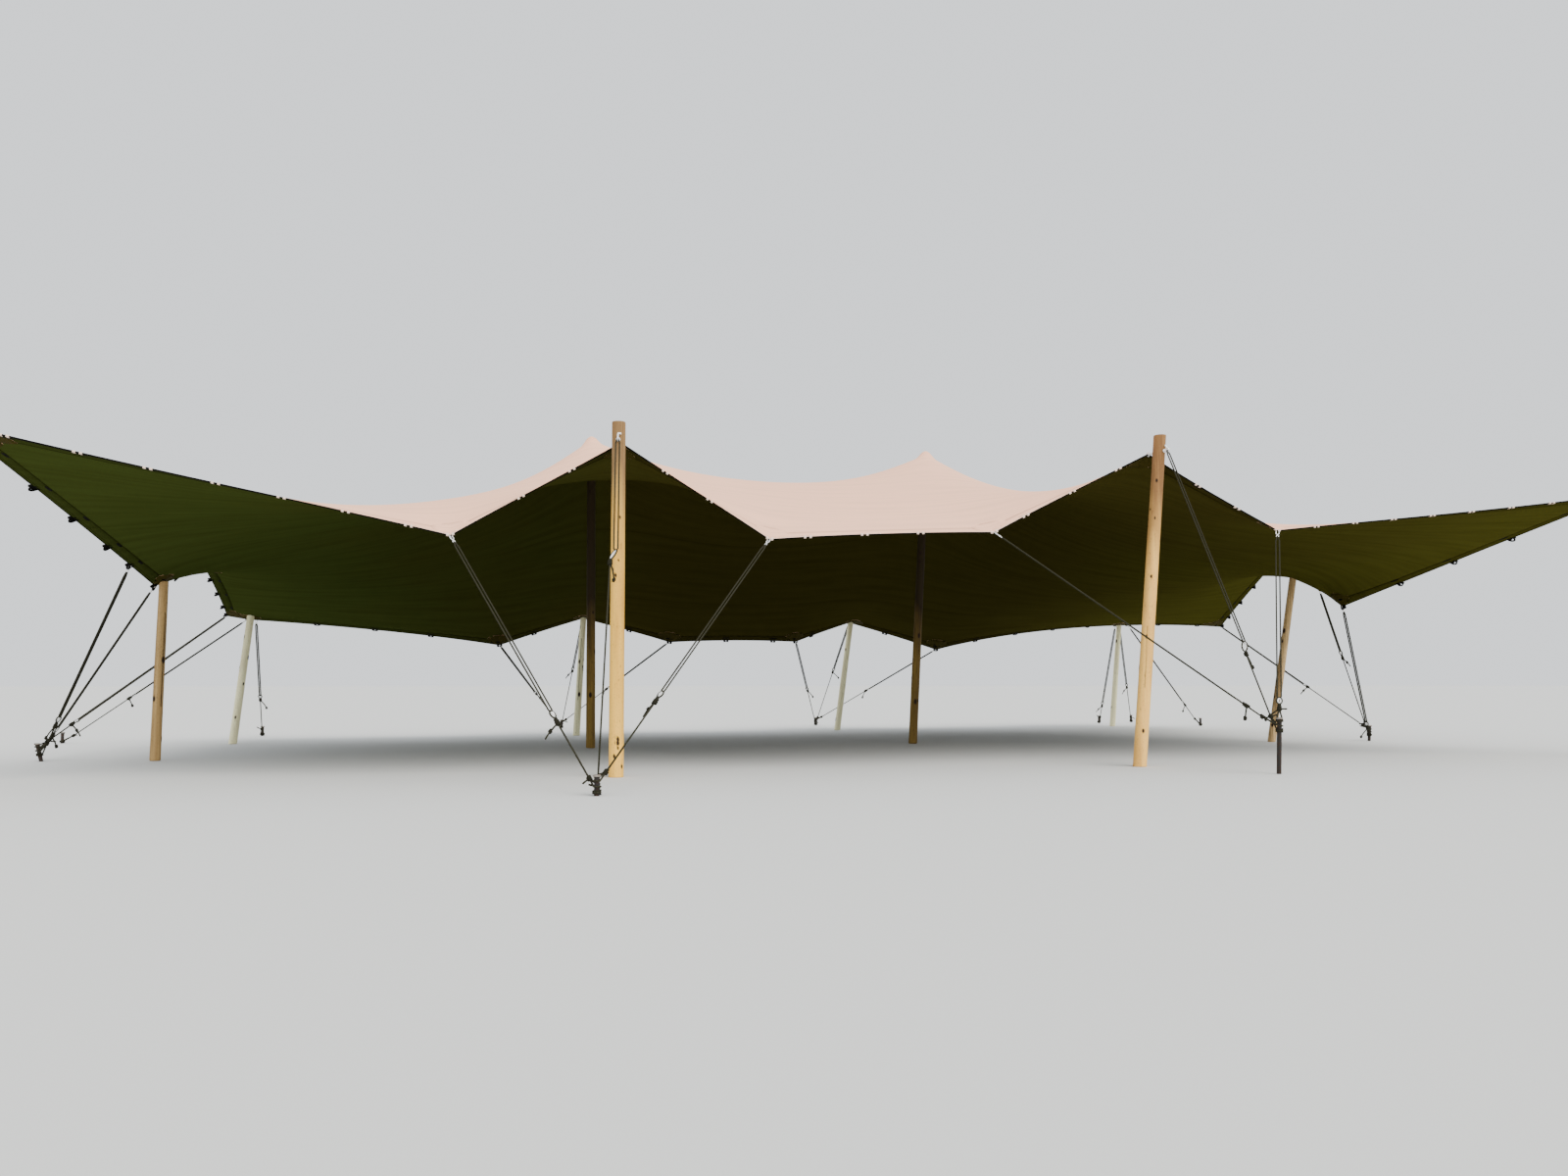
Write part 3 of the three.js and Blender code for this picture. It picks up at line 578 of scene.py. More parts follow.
def smoothed(lines, values, at, corners=()):
    gap = np.diff(lines).reshape(-1, *[1] * (values.ndim - 1))
    slope = np.diff(values, axis=0) / gap
    inner = (gap[1:] * slope[:-1] + gap[:-1] * slope[1:]) / (gap[1:] + gap[:-1])
    same_way = slope[:-1] * slope[1:] > 0
    weights = 1 / np.where(same_way, slope[:-1], 1) + 1 / np.where(same_way, slope[1:], 1)
    calm = np.where(same_way, 2 / np.where(weights == 0, 1, weights), 0)
    inner = np.where(np.minimum(gap[1:], gap[:-1]) < FINE_GAP, calm, inner)
    leaving = np.concatenate([slope[:1], inner, slope[-1:]])
    arriving = leaving.copy()
    for corner in corners:
        k = np.searchsorted(lines, corner)
        if 0 < k < len(lines) - 1:
            leaving[k], arriving[k] = slope[k], slope[k - 1]
    k = np.clip(np.searchsorted(lines, at, side="right") - 1, 0, len(lines) - 2)
    t = ((at - lines[k]) / np.diff(lines)[k]).reshape(-1, *[1] * (values.ndim - 1))
    return (values[k] * (1 + 2 * t) * (1 - t) ** 2 + values[k + 1] * t * t * (3 - 2 * t)
            + gap[k] * leaving[k] * t * (1 - t) ** 2 + gap[k] * arriving[k + 1] * t * t * (t - 1))


def sheet_lines(cells, peak_cells):
    steps = [PEAK_CELL_LINES if cell in peak_cells else CELL_LINES for cell in range(cells)]
    return np.array([c + k / n for c, n in enumerate(steps) for k in range(n)] + [cells])


LINES_U = sheet_lines(CELLS_ACROSS, (15, 16, 28, 29))
LINES_V = sheet_lines(CELLS_DEEP, (14, 15))
rows = smoothed(NET_U, net.transpose(1, 0, 2), LINES_U)
SHEET = smoothed(NET_V, rows.transpose(1, 0, 2), LINES_V)
for holds, row, far in ((FRONT, 0, LINES_V), (BACK, -1, CELLS_DEEP - LINES_V)):
    broken = smoothed(NET_U, net[row], LINES_U, [hold[0] for hold in holds])
    SHEET += (broken - SHEET[row])[None] * (np.clip(1 - far, 0, 1) ** 2)[:, None, None]
for holds, column, far in ((LEFT, 0, LINES_U), (RIGHT, -1, CELLS_ACROSS - LINES_U)):
    broken = smoothed(NET_V, net[:, column], LINES_V, [hold[0] for hold in holds])
    SHEET += (broken - SHEET[:, column])[:, None] * (np.clip(1 - far, 0, 1) ** 2)[None, :, None]
print("sheet lines", len(LINES_U), "by", len(LINES_V))

# %% [markdown]
# A peak's tip is a rounded cone, where the cloth bends over the pole's head. The net bunches up
# there, so the last 16 cm round the pole are drawn again: in every direction a cubic curve starts
# level at the top and meets the cloth with the slope that the cloth has.

# %% Round the tips of the peaks
TIP, BEYOND = 0.16, 0.05
TURNS, REACH = np.radians(np.arange(0, 360, 5)), np.linspace(1.4, 3.6, 45)


def sheet_at(u, v):
    """The sheet's point at a place in cells, with its line numbers and corner weights."""
    i = int(np.clip(np.searchsorted(LINES_U, u, side="right") - 1, 0, len(LINES_U) - 2))
    j = int(np.clip(np.searchsorted(LINES_V, v, side="right") - 1, 0, len(LINES_V) - 2))
    s = (u - LINES_U[i]) / (LINES_U[i + 1] - LINES_U[i])
    t = (v - LINES_V[j]) / (LINES_V[j + 1] - LINES_V[j])
    weights = np.array([[(1 - s) * (1 - t), s * (1 - t)], [(1 - s) * t, s * t]])[..., None]
    return (SHEET[j:j + 2, i:i + 2] * weights).sum((0, 1)), i, j, weights


for (u, v), top in PEAKS:
    rim = []
    for turn in TURNS:
        ray = np.array([sheet_at(u + d * np.cos(turn), v + d * np.sin(turn))[0] for d in REACH]) - top
        out = np.hypot(ray[:, 0], ray[:, 1])
        edge = [np.interp(TIP, out, column) for column in (REACH, *ray.T)]
        rim.append(edge + [(np.interp(TIP + BEYOND, out, ray[:, 2]) - edge[3]) / BEYOND * TIP])
    du, dv = np.meshgrid(LINES_U - u, LINES_V - v)
    angle = np.arctan2(dv, du) % math.tau
    limit, x, y, z, slope = (np.interp(angle, TURNS, column, period=math.tau)
                             for column in np.array(rim).T)
    t = np.hypot(du, dv) / limit
    tip = np.stack([x * t, y * t, z * t * t * (3 - 2 * t) + slope * t * t * (t - 1)], -1) + top
    SHEET = np.where((t < 1)[..., None], tip, SHEET)
NORMAL = np.cross(np.gradient(SHEET, LINES_U, axis=1), np.gradient(SHEET, LINES_V, axis=0))
NORMAL /= np.linalg.norm(NORMAL, axis=2, keepdims=True)
print("tips rounded", len(PEAKS))

# %% [markdown]
# From here the canopy is tailored as the real one is: pieces are laid out flat, in metres of
# cloth, and then laid on the stretched shape. This helper carries a flat point to its place, with
# a height above the middle of the cloth. Past the hem it goes on in the same direction.

# %% Lay flat things on the cloth
def on_cloth(x, y, height=0.0):
    point, i, j, weights = sheet_at(x / CELL, y / CELL)
    normal = (NORMAL[j:j + 2, i:i + 2] * np.clip(weights, 0, 1)).sum((0, 1))
    return Vector(point + normal / np.linalg.norm(normal) * height)


def lay(verts):
    for v in verts:
        v.co = on_cloth(v.co.x, v.co.y, v.co.z)


def keep_flat_uv(bm):
    uv = bm.loops.layers.uv.verify()
    for face in bm.faces:
        for loop in face.loops:
            loop[uv].uv = loop.vert.co.xy


print("cloth's middle", tuple(round(x, 3) for x in on_cloth(CLOTH[0] / 2, CLOTH[1] / 2)))

# %% [markdown]
# ## The canopy sheet
# The canopy is one grid of faces, moved line by line onto the shape. Solidify gives it its
# thickness afterwards, and takes the next material for the lower side, so the sheet is sand above
# and olive below. A rim of 1 gives the lower side's material to the edge too. All flat pieces of
# cloth end this way, so one helper does it.

# %% Make the canopy
FABRIC_THICKNESS = 0.008


def cloth_piece(bm, name, materials, thickness, rim=0, replaces=()):
    bm.normal_update()
    for face in bm.faces:
        if face.normal.z < 0:
            face.normal_flip()
    piece = finished(bm, name, materials, replaces, smooth=0, outward=False)
    modifier = piece.modifiers.new("thickness", "SOLIDIFY")
    modifier.thickness = thickness
    modifier.offset = 0
    modifier.material_offset = 1
    modifier.material_offset_rim = rim
    return piece


bm = bmesh.new()
across_count, deep_count = len(LINES_U) - 1, len(LINES_V) - 1
bmesh.ops.create_grid(bm, x_segments=across_count, y_segments=deep_count, size=0.5)
line_of = {v: (round((v.co.x + 0.5) * across_count), round((v.co.y + 0.5) * deep_count))
           for v in bm.verts}
for v, (i, j) in line_of.items():
    v.co = (LINES_U[i] * CELL, LINES_V[j] * CELL, 0)
keep_flat_uv(bm)
for v, (i, j) in line_of.items():
    v.co = SHEET[j, i]
canopy = cloth_piece(bm, "canopy_sheet", [sand, olive], FABRIC_THICKNESS, rim=1, replaces=["canopy"])

# %% [markdown]
# ## The hem
# The hem is turned over and sewn, with a webbing inside its edge, and it shows as a doubled band
# and a thin welt. The welt is pale on top, a painted highlight along the hem's edge, and dark at
# the edge and below, which is painted shade under the hem. Both are frames cut from the flat
# cloth: a rectangle is inset, its middle is taken out, and it is cut along the sheet's own lines,
# so that it lies on the sheet without poking through.

# %% Cut and lay a frame of cloth
HEM_THICKNESS, WELT_THICKNESS = 0.0105, 0.0125
WELT_OUT, WELT_IN = 0.004, 0.006


def cloth_frame(outer, inner):
    bm = bmesh.new()
    bmesh.ops.create_grid(bm, x_segments=1, y_segments=1, size=0.5)
    bmesh.ops.scale(bm, vec=(CLOTH[0] + 2 * outer, CLOTH[1] + 2 * outer, 1), verts=bm.verts)
    bmesh.ops.translate(bm, vec=(CLOTH[0] / 2, CLOTH[1] / 2, 0), verts=bm.verts)
    middle = list(bm.faces)
    bmesh.ops.inset_region(bm, faces=middle, thickness=outer + inner, use_even_offset=True,
                           use_boundary=True)
    bmesh.ops.delete(bm, geom=middle, context="FACES")
    for lines, normal in ((LINES_U[1:-1], (1, 0, 0)), (LINES_V[1:-1], (0, 1, 0))):
        for line in lines:
            everything = bm.verts[:] + bm.edges[:] + bm.faces[:]
            bmesh.ops.bisect_plane(bm, geom=everything, plane_co=Vector(normal) * line * CELL,
                                   plane_no=normal, dist=1e-6)
    keep_flat_uv(bm)
    lay(bm.verts)
    return bm


hem = cloth_piece(cloth_frame(0.0, HEM_DEPTH), "hem_doubled", [sand, facing_olive], HEM_THICKNESS, rim=1)
# The welt's pale top is a painted highlight, and its dark edge and lower side are painted shade.
welt = cloth_piece(cloth_frame(WELT_OUT, WELT_IN), "hem_welt", [painted_highlight_sand, webbing], WELT_THICKNESS, rim=1)
print("hem faces", len(hem.data.polygons), "welt faces", len(welt.data.polygons))

# %% [markdown]
# ## The guys' data
# Each guy starts at a point of the hem or at a tall pole's head, and ends at a stake. The list
# names the side and cell of the hem or the pole, the stake, and the share of the way down at
# which the rope's block sits.

# %% List the guys
GUYS = {
    "guy_corner_left": ("corner_left", 0, "front_corner_left", 0.35),
    "guy_front_pole_left": ("left_pole", 16, "front_left", 0.33),
    "guy_front_pole_right": ("right_pole", 32, "front_right", 0.72),
    "guy_corner_right": ("corner_right", 50, "front_corner_right", 0.5),
    "guy_front_a": ("front", 11, "front_left", 0.7),
    "guy_front_b": ("front", 21, "front_left", 0.65),
    "guy_front_c": ("front", 27, "front_right", 0.84),
    "guy_front_d": ("front", 37, "front_right", 0.86),
    "guy_side_left_front": ("left", 10, "side_left", 0.76),
    "guy_side_left": ("left", 12, "side_left", 0.82),
    "guy_corner_back_left": ("left", 28, "side_left", 0.82),
    "guy_back_left_outer": ("back", 1, "back_corner_left", 0.58),
    "guy_back_left": ("back", 1.3, "back_left", 0.6),
    "guy_back_e": ("back", 11, "back_inner_left", 0.5),
    "guy_back_pole_left": ("back", 15, "back_inner_left", 0.4),
    "guy_back_f": ("back", 19, "back_inner_left", 0.5),
    "guy_back_g": ("back", 25, "back_inner_right", 0.5),
    "guy_back_pole_right": ("back", 29, "back_inner_right", 0.4),
    "guy_back_h": ("back", 33, "back_inner_right", 0.5),
    "guy_back_right": ("back", 43.85, "back_right", 0.75),
    "guy_back_right_outer": ("back", 44.1, "back_corner_right", 0.56),
    "guy_end_right": ("back", 44.6, "end_right", 0.72),
    "guy_side_right": ("right", 11, "side_right", 0.86),
    "guy_side_right_rear": ("right", 13.4, "side_right", 0.46),
    "guy_corner_back_right": ("right", 28, "side_right", 0.6),
}
SIDES = {
    "front": lambda along, inward: (along, inward),
    "back": lambda along, inward: (along, CLOTH[1] - inward),
    "left": lambda along, inward: (inward, along),
    "right": lambda along, inward: (CLOTH[0] - inward, along),
}


def hem_place(side, along):
    """A point of the hem by its metres along one side of the cloth."""
    return on_cloth(*SIDES[side](along, 0.0))


print("guys", len(GUYS))

# %% [markdown]
# ## Loops and patches along the hem
# Every half a metre at the front, and every three quarters elsewhere, the hem has a webbing loop
# that a hook can clip into, and a stitched patch inside it that spreads the pull. Guys have a
# loop each, or share one where they start close together, and the plain loops keep clear of
# those. The crowns of the front hem have none, because an eye bolt holds them.

# %% Find the places of the loops
LOOP_STEP = {"front": 0.50, "back": 0.75, "left": 0.75, "right": 0.75}
FROM_CORNER, SHARED, CLEAR = 0.06, 0.12, 0.30
SIDE_LENGTHS = {"front": CLOTH[0], "back": CLOTH[0], "left": CLOTH[1], "right": CLOTH[1]}


def loop_places(side):
    length, step = SIDE_LENGTHS[side], LOOP_STEP[side]
    used = [cell * CELL for start, cell, _, _ in GUYS.values() if start == side]
    used = sorted({round(min(max(at, FROM_CORNER), length - FROM_CORNER), 3) for at in used})
    kept = [at for k, at in enumerate(used) if k == 0 or at - used[k - 1] > SHARED]
    steps = int(length / step)
    spare = (length - (steps - 1) * step) / 2
    crowns = [16 * CELL, 32 * CELL] if side == "front" else []
    plain = [spare + k * step for k in range(steps)]
    others = kept + crowns
    return sorted(kept + [at for at in plain if all(abs(at - other) > CLEAR for other in others)])


LOOPS = {side: loop_places(side) for side in SIDES}
print("loops", {side: len(places) for side, places in LOOPS.items()})

# %% [markdown]
# A loop is a strip of webbing sewn on by its two ends. Here it is a round section swept along a
# little more than half an oval, drawn flat beside the hem and laid on the cloth, like the hem
# itself. The loops stand out and hang at the two ends of the tent, and hardly show at its front.

# %% Make the loops
LOOP_HALF, LOOP_FOOT, LOOP_POINTS = 0.034, 0.004, 11
LOOP_OUT = {"front": 0.004, "back": 0.030, "left": 0.046, "right": 0.046}
LOOP_SAG = {"front": 0.0, "back": 0.012, "left": 0.030, "right": 0.030}
LOOP_WIRE = {"front": 0.0045, "back": 0.0062, "left": 0.0100, "right": 0.0100}


def d_loop(bm, side, along):
    path = []
    for k in range(LOOP_POINTS):
        angle = math.pi * (k / (LOOP_POINTS - 1) * 1.3 - 0.15)
        inward = LOOP_FOOT - LOOP_OUT[side] * math.sin(angle)
        flat = SIDES[side](along + LOOP_HALF * math.cos(angle), inward)
        path.append((*flat, -LOOP_SAG[side] * max(math.sin(angle), 0)))
    faces = sweep(bm, path, LOOP_WIRE[side], sides=6)
    lay({v for face in faces for v in face.verts})


bm = bmesh.new()
for side, places in LOOPS.items():
    for along in places:
        d_loop(bm, side, along)
hem_loops = finished(bm, "hem_loops", [webbing])
print("loop faces", len(hem_loops.data.polygons))

# %% [markdown]
# A patch is a small grid with its corners rounded off. One kind lies along the hem inside each
# loop, sand above and dark below, where the dark is painted shade on its lower side. Two short
# tabs round the edge hold the loop itself. The tabs are pale and narrow at the front, dark and
# broad on the other sides: the pale is a painted highlight where they face up at the front, and the
# dark is painted shade where their undersides show. Another kind is a broad tongue at each point
# where a pole or rope holds the hem, with the cloth's colour above and webbing below.

# %% Make the patches
def plate(bm, side, along, inward, half_along, half_inward, corner=0.3):
    for v in bmesh.ops.create_grid(bm, x_segments=6, y_segments=4, size=1)["verts"]:
        x, y = v.co.x, v.co.y
        pull = 1 - corner * (x * x * y * y)
        v.co = (*SIDES[side](along + half_along * x * pull, inward + half_inward * y * pull), 0)


PATCH_IN = {"front": 0.034, "back": 0.066, "left": 0.106, "right": 0.106}
PATCH_THICKNESS, FRONT_TAB_THICKNESS, TAB_THICKNESS = 0.0120, 0.0160, 0.0170
TAB_ASIDE, TONGUE_ASIDE = 0.024, 0.2
PATCH = (0.060, 0.016)  # half its length along the hem, half its depth
# the same after the distance in from the hem, and before the roundness of the corners
FRONT_TAB, TAB, TONGUE = (0.004, 0.011, 0.015, 0.1), (-0.010, 0.015, 0.036, 0.1), (0.11, 0.17, 0.11, 0.5)


def patches(name, plates, materials, thickness, rim=0):
    bm = bmesh.new()
    for one in plates:
        plate(bm, *one)
    keep_flat_uv(bm)
    lay(bm.verts)
    return cloth_piece(bm, name, materials, thickness, rim)


def tabs(name, sides, shape, material, thickness):
    plates = [(side, at + aside, *shape) for side in sides for at in LOOPS[side]
              for aside in (-TAB_ASIDE, TAB_ASIDE)]
    return patches(name, plates, [material, material], thickness)


small = [(side, at, PATCH_IN[side], *PATCH) for side, places in LOOPS.items() for at in places]
# The dark lower side of these patches is painted shade.
hem_patches = patches("hem_patches", small, [sand, webbing], PATCH_THICKNESS, rim=1)
# The pale front tabs are a painted highlight, and the dark tabs on the other sides are painted shade.
front_tabs = tabs("hem_tabs_front", ["front"], FRONT_TAB, painted_highlight_sand, FRONT_TAB_THICKNESS)
hem_tabs = tabs("hem_tabs", ["back", "left", "right"], TAB, webbing, TAB_THICKNESS)
held_at = [(side, hold[0] * CELL) for side, holds in
           (("front", FRONT), ("back", BACK), ("left", LEFT), ("right", RIGHT)) for hold in holds]
tongues = [(side, min(max(at, TONGUE_ASIDE), SIDE_LENGTHS[side] - TONGUE_ASIDE), *TONGUE)
           for side, at in held_at]
hold_patches = patches("hold_patches", tongues, [sand, brown_webbing], PATCH_THICKNESS)
print("patch faces", [len(p.data.polygons) for p in (hem_patches, front_tabs, hem_tabs, hold_patches)])

# %% [markdown]
# At each peak a round patch takes the pole's push. It is a disc of rings, laid on the cloth the
# same way.

# %% Make the round patches
DISC, RINGS, DISC_THICKNESS = 0.30, 5, 0.011


def disc(bm, cell):
    middle = bmesh.ops.create_circle(bm, cap_ends=True, cap_tris=True, segments=28,
                                     radius=DISC / RINGS)
    edge = [e for e in bm.edges if e.is_boundary and all(v in middle["verts"] for v in e.verts)]
    whole = middle["verts"]
    for ring in range(2, RINGS + 1):
        made = bmesh.ops.extrude_edge_only(bm, edges=edge)["geom"]
        new = [e for e in made if isinstance(e, bmesh.types.BMVert)]
        bmesh.ops.scale(bm, vec=(ring / (ring - 1), ring / (ring - 1), 1), verts=new)
        edge = [e for e in made if isinstance(e, bmesh.types.BMEdge) and e.is_boundary]
        whole += new
    bmesh.ops.translate(bm, vec=(cell[0] * CELL, cell[1] * CELL, 0), verts=whole)


bm = bmesh.new()
for cell, _ in PEAKS:
    disc(bm, cell)
keep_flat_uv(bm)
lay(bm.verts)
peak_patches = cloth_piece(bm, "peak_patches", [sand, brown_webbing], DISC_THICKNESS)
print("peak patch faces", len(peak_patches.data.polygons))

# %% [markdown]
# ## Poles
# Each pole is a peeled trunk: nearly round, slightly wavy, with knots that stand out a little and
# a long drying crack. A cone with many cuts gives the trunk, and its vertices are pushed in and
# out with noise. Where the pole props the cloth its head is rounded and stops under the fabric.

# %% Pole sizes and places
TALL, SHORT, INNER = (0.064, 0.059), (0.052, 0.045), (0.056, 0.050)
POLES = {
    "front_pole_corner_left": ((-8.010, -5.000), (-8.010, -5.000), 2.980, TALL, "tan"),
    "front_pole_left": ((-2.860, -4.910), (-2.870, -4.910), 3.050, TALL, "ochre"),
    "front_pole_right": ((2.120, -4.890), (2.430, -4.890), 3.220, TALL, "tan"),
    "front_pole_corner_right": ((8.040, -5.120), (8.120, -5.120), 3.060, TALL, "ochre"),
    "side_pole_left": ((-7.200, -1.610), (-7.190, -1.600), None, SHORT, "ruddy"),
    "side_pole_right": ((6.410, -1.120), (6.700, -1.300), None, SHORT, "rosy"),
    "back_pole_left": ((-7.100, 1.800), (-6.970, 1.990), None, SHORT, "pale"),
    "back_pole_inner_left": ((-2.550, 3.210), (-2.470, 3.180), None, SHORT, "pale"),
    "back_pole_inner_right": ((1.890, 4.180), (2.130, 4.150), None, SHORT, "pale"),
    "back_pole_right": ((7.350, 4.650), (7.510, 4.610), None, SHORT, "pale"),
    # The inner poles take the brown wood, whose darkness is painted shade.
    "peak_pole_left": ((-2.660, -0.360), (-2.700, -0.360), None, INNER, "brown"),
    "peak_pole_right": ((1.540, -0.340), (1.760, -0.340), None, INNER, "brown"),
}
HEAD_GAP = 0.002


def cloth_tree(mesh):
    bm = bmesh.new()
    bm.from_mesh(mesh)
    tree = BVHTree.FromBMesh(bm)
    bm.free()
    return tree


# the solid canopy, and the sheet with how far it reaches below its middle, its patches included
CLOTHS = [(cloth_tree(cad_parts["canopy"].data), 0.0), (cloth_tree(canopy.data), 0.006)]


def under_cloth(point):
    """Height of the cloth's lower side straight above a point, or None past the hem."""
    start = Vector((point[0], point[1], 0.3))
    hits = [(tree.ray_cast(start, UP)[0], half) for tree, half in CLOTHS]
    return min((hit.z - half for hit, half in hits if hit), default=None)


def leaning(foot, slope):
    """A shear that leans an upright shape and sets it on its foot."""
    return Matrix(((1, 0, slope[0], foot[0]), (0, 1, slope[1], foot[1]), (0, 0, 1, 0), (0, 0, 0, 1)))


print("poles", len(POLES))

# %% [markdown]
# The knots on the near side of three poles sit where the photograph shows them: each has a
# height, an angle round the pole and a size. All others are placed at random. Each pole has one
# long crack, and two of the cracks are seen ones.

# %% Knots and cracks
SEEN_KNOTS = {
    "front_pole_left": [(0.29, -84, 0.013), (0.32, -84, 0.012), (0.245, -84, 0.008),
                        (0.178, -111, 0.011), (0.092, -50, 0.010), (1.76, -137, 0.009),
                        (1.71, -113, 0.010), (1.84, -92, 0.007), (2.21, -80, 0.008)],
    "front_pole_right": [(1.24, -132, 0.011), (0.34, -110, 0.012), (2.76, -126, 0.011),
                         (1.82, -122, 0.010), (2.48, -174, 0.008), (2.39, -122, 0.008)],
    "side_pole_right": [(1.50, -160, 0.020), (1.36, -164, 0.014), (0.23, -147, 0.016)],
}
SEEN_CRACKS = {"front_pole_left": (-84, 0.23, 0.36), "front_pole_right": (-124, 0.75, 1.35)}


def pole_marks(name, height, seed):
    source = random.Random(seed)
    knots = [(at, math.radians(turn), size) for at, turn, size in SEEN_KNOTS.get(name, [])]
    while len(knots) < height * 3.5:
        at, turn = source.uniform(0.12, height - 0.15), source.uniform(-math.pi, math.pi)
        if name not in SEEN_KNOTS or turn > 0:
            knots.append((at, turn, source.uniform(0.010, 0.020)))
    turn, low, high = SEEN_CRACKS.get(name, (math.degrees(seed * 1.7), height * 0.30, height * 0.82))
    return knots, (math.radians(turn), low, high)


print("seen knots", {name: len(knots) for name, knots in SEEN_KNOTS.items()})

# %% [markdown]
# The trunk is shaped upright, at full height, and leaned by a matrix at the end. Each vertex
# moves with slow noise, out at a knot and in at the crack, and keeps how dark it is there.

# %% Shape one pole
SECTION, WAVE, KNOT_PUSH = 0.014, 0.0016, 0.0022
CRACK_HALF, CRACK_DEPTH = 0.009, 0.0015
ON_SIDE = 0.9  # the share of the radius from which a vertex is on the side, not inside an end


def timber_pole(name, seed):
    foot, head, height, (foot_radius, head_radius), _ = POLES[name]
    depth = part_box(name)[1].z
    bm = bmesh.new()
    made = bmesh.ops.create_cone(bm, cap_ends=True, segments=36, radius1=foot_radius,
                                 radius2=head_radius, depth=depth)["verts"]
    bmesh.ops.translate(bm, vec=(0, 0, depth / 2), verts=made)
    uprights = [e for e in bm.edges if abs(e.verts[0].co.z - e.verts[1].co.z) > depth / 2]
    bmesh.ops.subdivide_edges(bm, edges=uprights, cuts=round(depth / SECTION), use_grid_fill=True)
    knot = bm.verts.layers.float.new("knot")
    knots, (crack, low, high) = pole_marks(name, depth, seed)
    for v in bm.verts:
        angle, z = math.atan2(v.co.y, v.co.x), v.co.z
        out = v.co.xy.length / (foot_radius + (head_radius - foot_radius) * z / depth)
        push = WAVE * noise.noise((math.cos(angle), math.sin(angle) + seed, z * 1.6))
        dark = 0.0
        for at, turn, size in knots:
            off = math.hypot((z - at) * 0.55, foot_radius * math.sin((angle - turn) / 2) * 2)
            close = math.exp(-(off / size) ** 2)
            dark, push = max(dark, close), push + KNOT_PUSH * close
        wander = crack + 0.12 * noise.noise((seed, 0, z * 1.1))
        aside = abs(math.sin((angle - wander) / 2)) * 2 * foot_radius
        if low < z < high and aside < CRACK_HALF and out > ON_SIDE:
            dark, push = max(dark, 0.75 * (1 - aside / CRACK_HALF)), push - CRACK_DEPTH
        v[knot] = dark if out > ON_SIDE else 0.0
        if v.co.xy.length > 1e-6:
            v.co.xy += v.co.xy.normalized() * push * out
    lean = leaning(foot, [(head[k] - foot[k]) / depth for k in (0, 1)])
    return bm, lean, depth, height is None


# %% [markdown]
# The head is cut level on a tall pole, and its rim is bevelled. Under the cloth each vertex of
# the head is set just below the fabric above it, so the pole really carries the canopy.

# %% Make all poles
HEAD_LENGTH = 0.16


def end_faces(bm):
    return [face for face in bm.faces if len(face.verts) > 8]


for number, name in enumerate(POLES):
    bm, lean, top, props = timber_pole(name, number + 3)
    offset, segments = (0.012, 3) if props else (0.005, 2)
    bmesh.ops.bevel(bm, geom=[e for face in end_faces(bm) for e in face.edges], offset=offset,
                    affect="EDGES", segments=segments, profile=0.5, material=-1)
    bmesh.ops.transform(bm, matrix=lean, verts=bm.verts)
    for v in [v for v in bm.verts if props and v.co.z > top - HEAD_LENGTH]:
        cloth = under_cloth(v.co)
        if cloth is not None:
            v.co.z = min(v.co.z, cloth - HEAD_GAP)
    uv = bm.loops.layers.uv.verify()
    for face in end_faces(bm):
        face.material_index = 1
        for loop in face.loops:
            loop[uv].uv = (loop.vert.co - lean @ Vector((0, 0, loop.vert.co.z))).xy
    woods = [WOODS[POLES[name][4]], wood_end]
    pole = finished(bm, f"{name}_timber", woods, [name], smooth=50)
    print(pole.name, len(pole.data.polygons), "faces")

# %% [markdown]
# ## Ground stakes
# A stake is a turned shape: a round shaft with a head that hammering has spread. Half its outline
# is drawn with a few vertices and spun all the way round, and the spin merges where it meets
# itself. The head gets the bright material. Then the stake leans as its CAD node does.

# %% Spin the stakes
SHAFT, HEAD, HEAD_HEIGHT, DENT = 0.020, 0.030, 0.016, 0.0012


def stake_ends(node):
    """The centre of a stake's foot and of its head."""
    points = np.array([v.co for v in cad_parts[node].data.vertices])
    ends = []
    for level in (points[:, 2].min(), points[:, 2].max()):
        ring = points[abs(points[:, 2] - level) < 5e-4]
        ends.append(Vector((*((ring.min(0) + ring.max(0)) / 2)[:2], level)))
    return ends


STAKES = {name: stake_ends(name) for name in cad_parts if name.startswith("stake_")}


def stake_outline(height):
    neck = height - HEAD_HEIGHT
    return [(0, 0), (SHAFT - 0.004, 0), (SHAFT, 0.004), (SHAFT, neck - 0.03),
            (SHAFT + 0.001, neck - 0.006), (SHAFT + 0.006, neck), (HEAD - 0.002, neck + 0.002),
            (HEAD, neck + 0.006), (HEAD - 0.001, height - 0.004), (HEAD - 0.006, height - 0.001),
            (HEAD * 0.5, height), (0, height)]


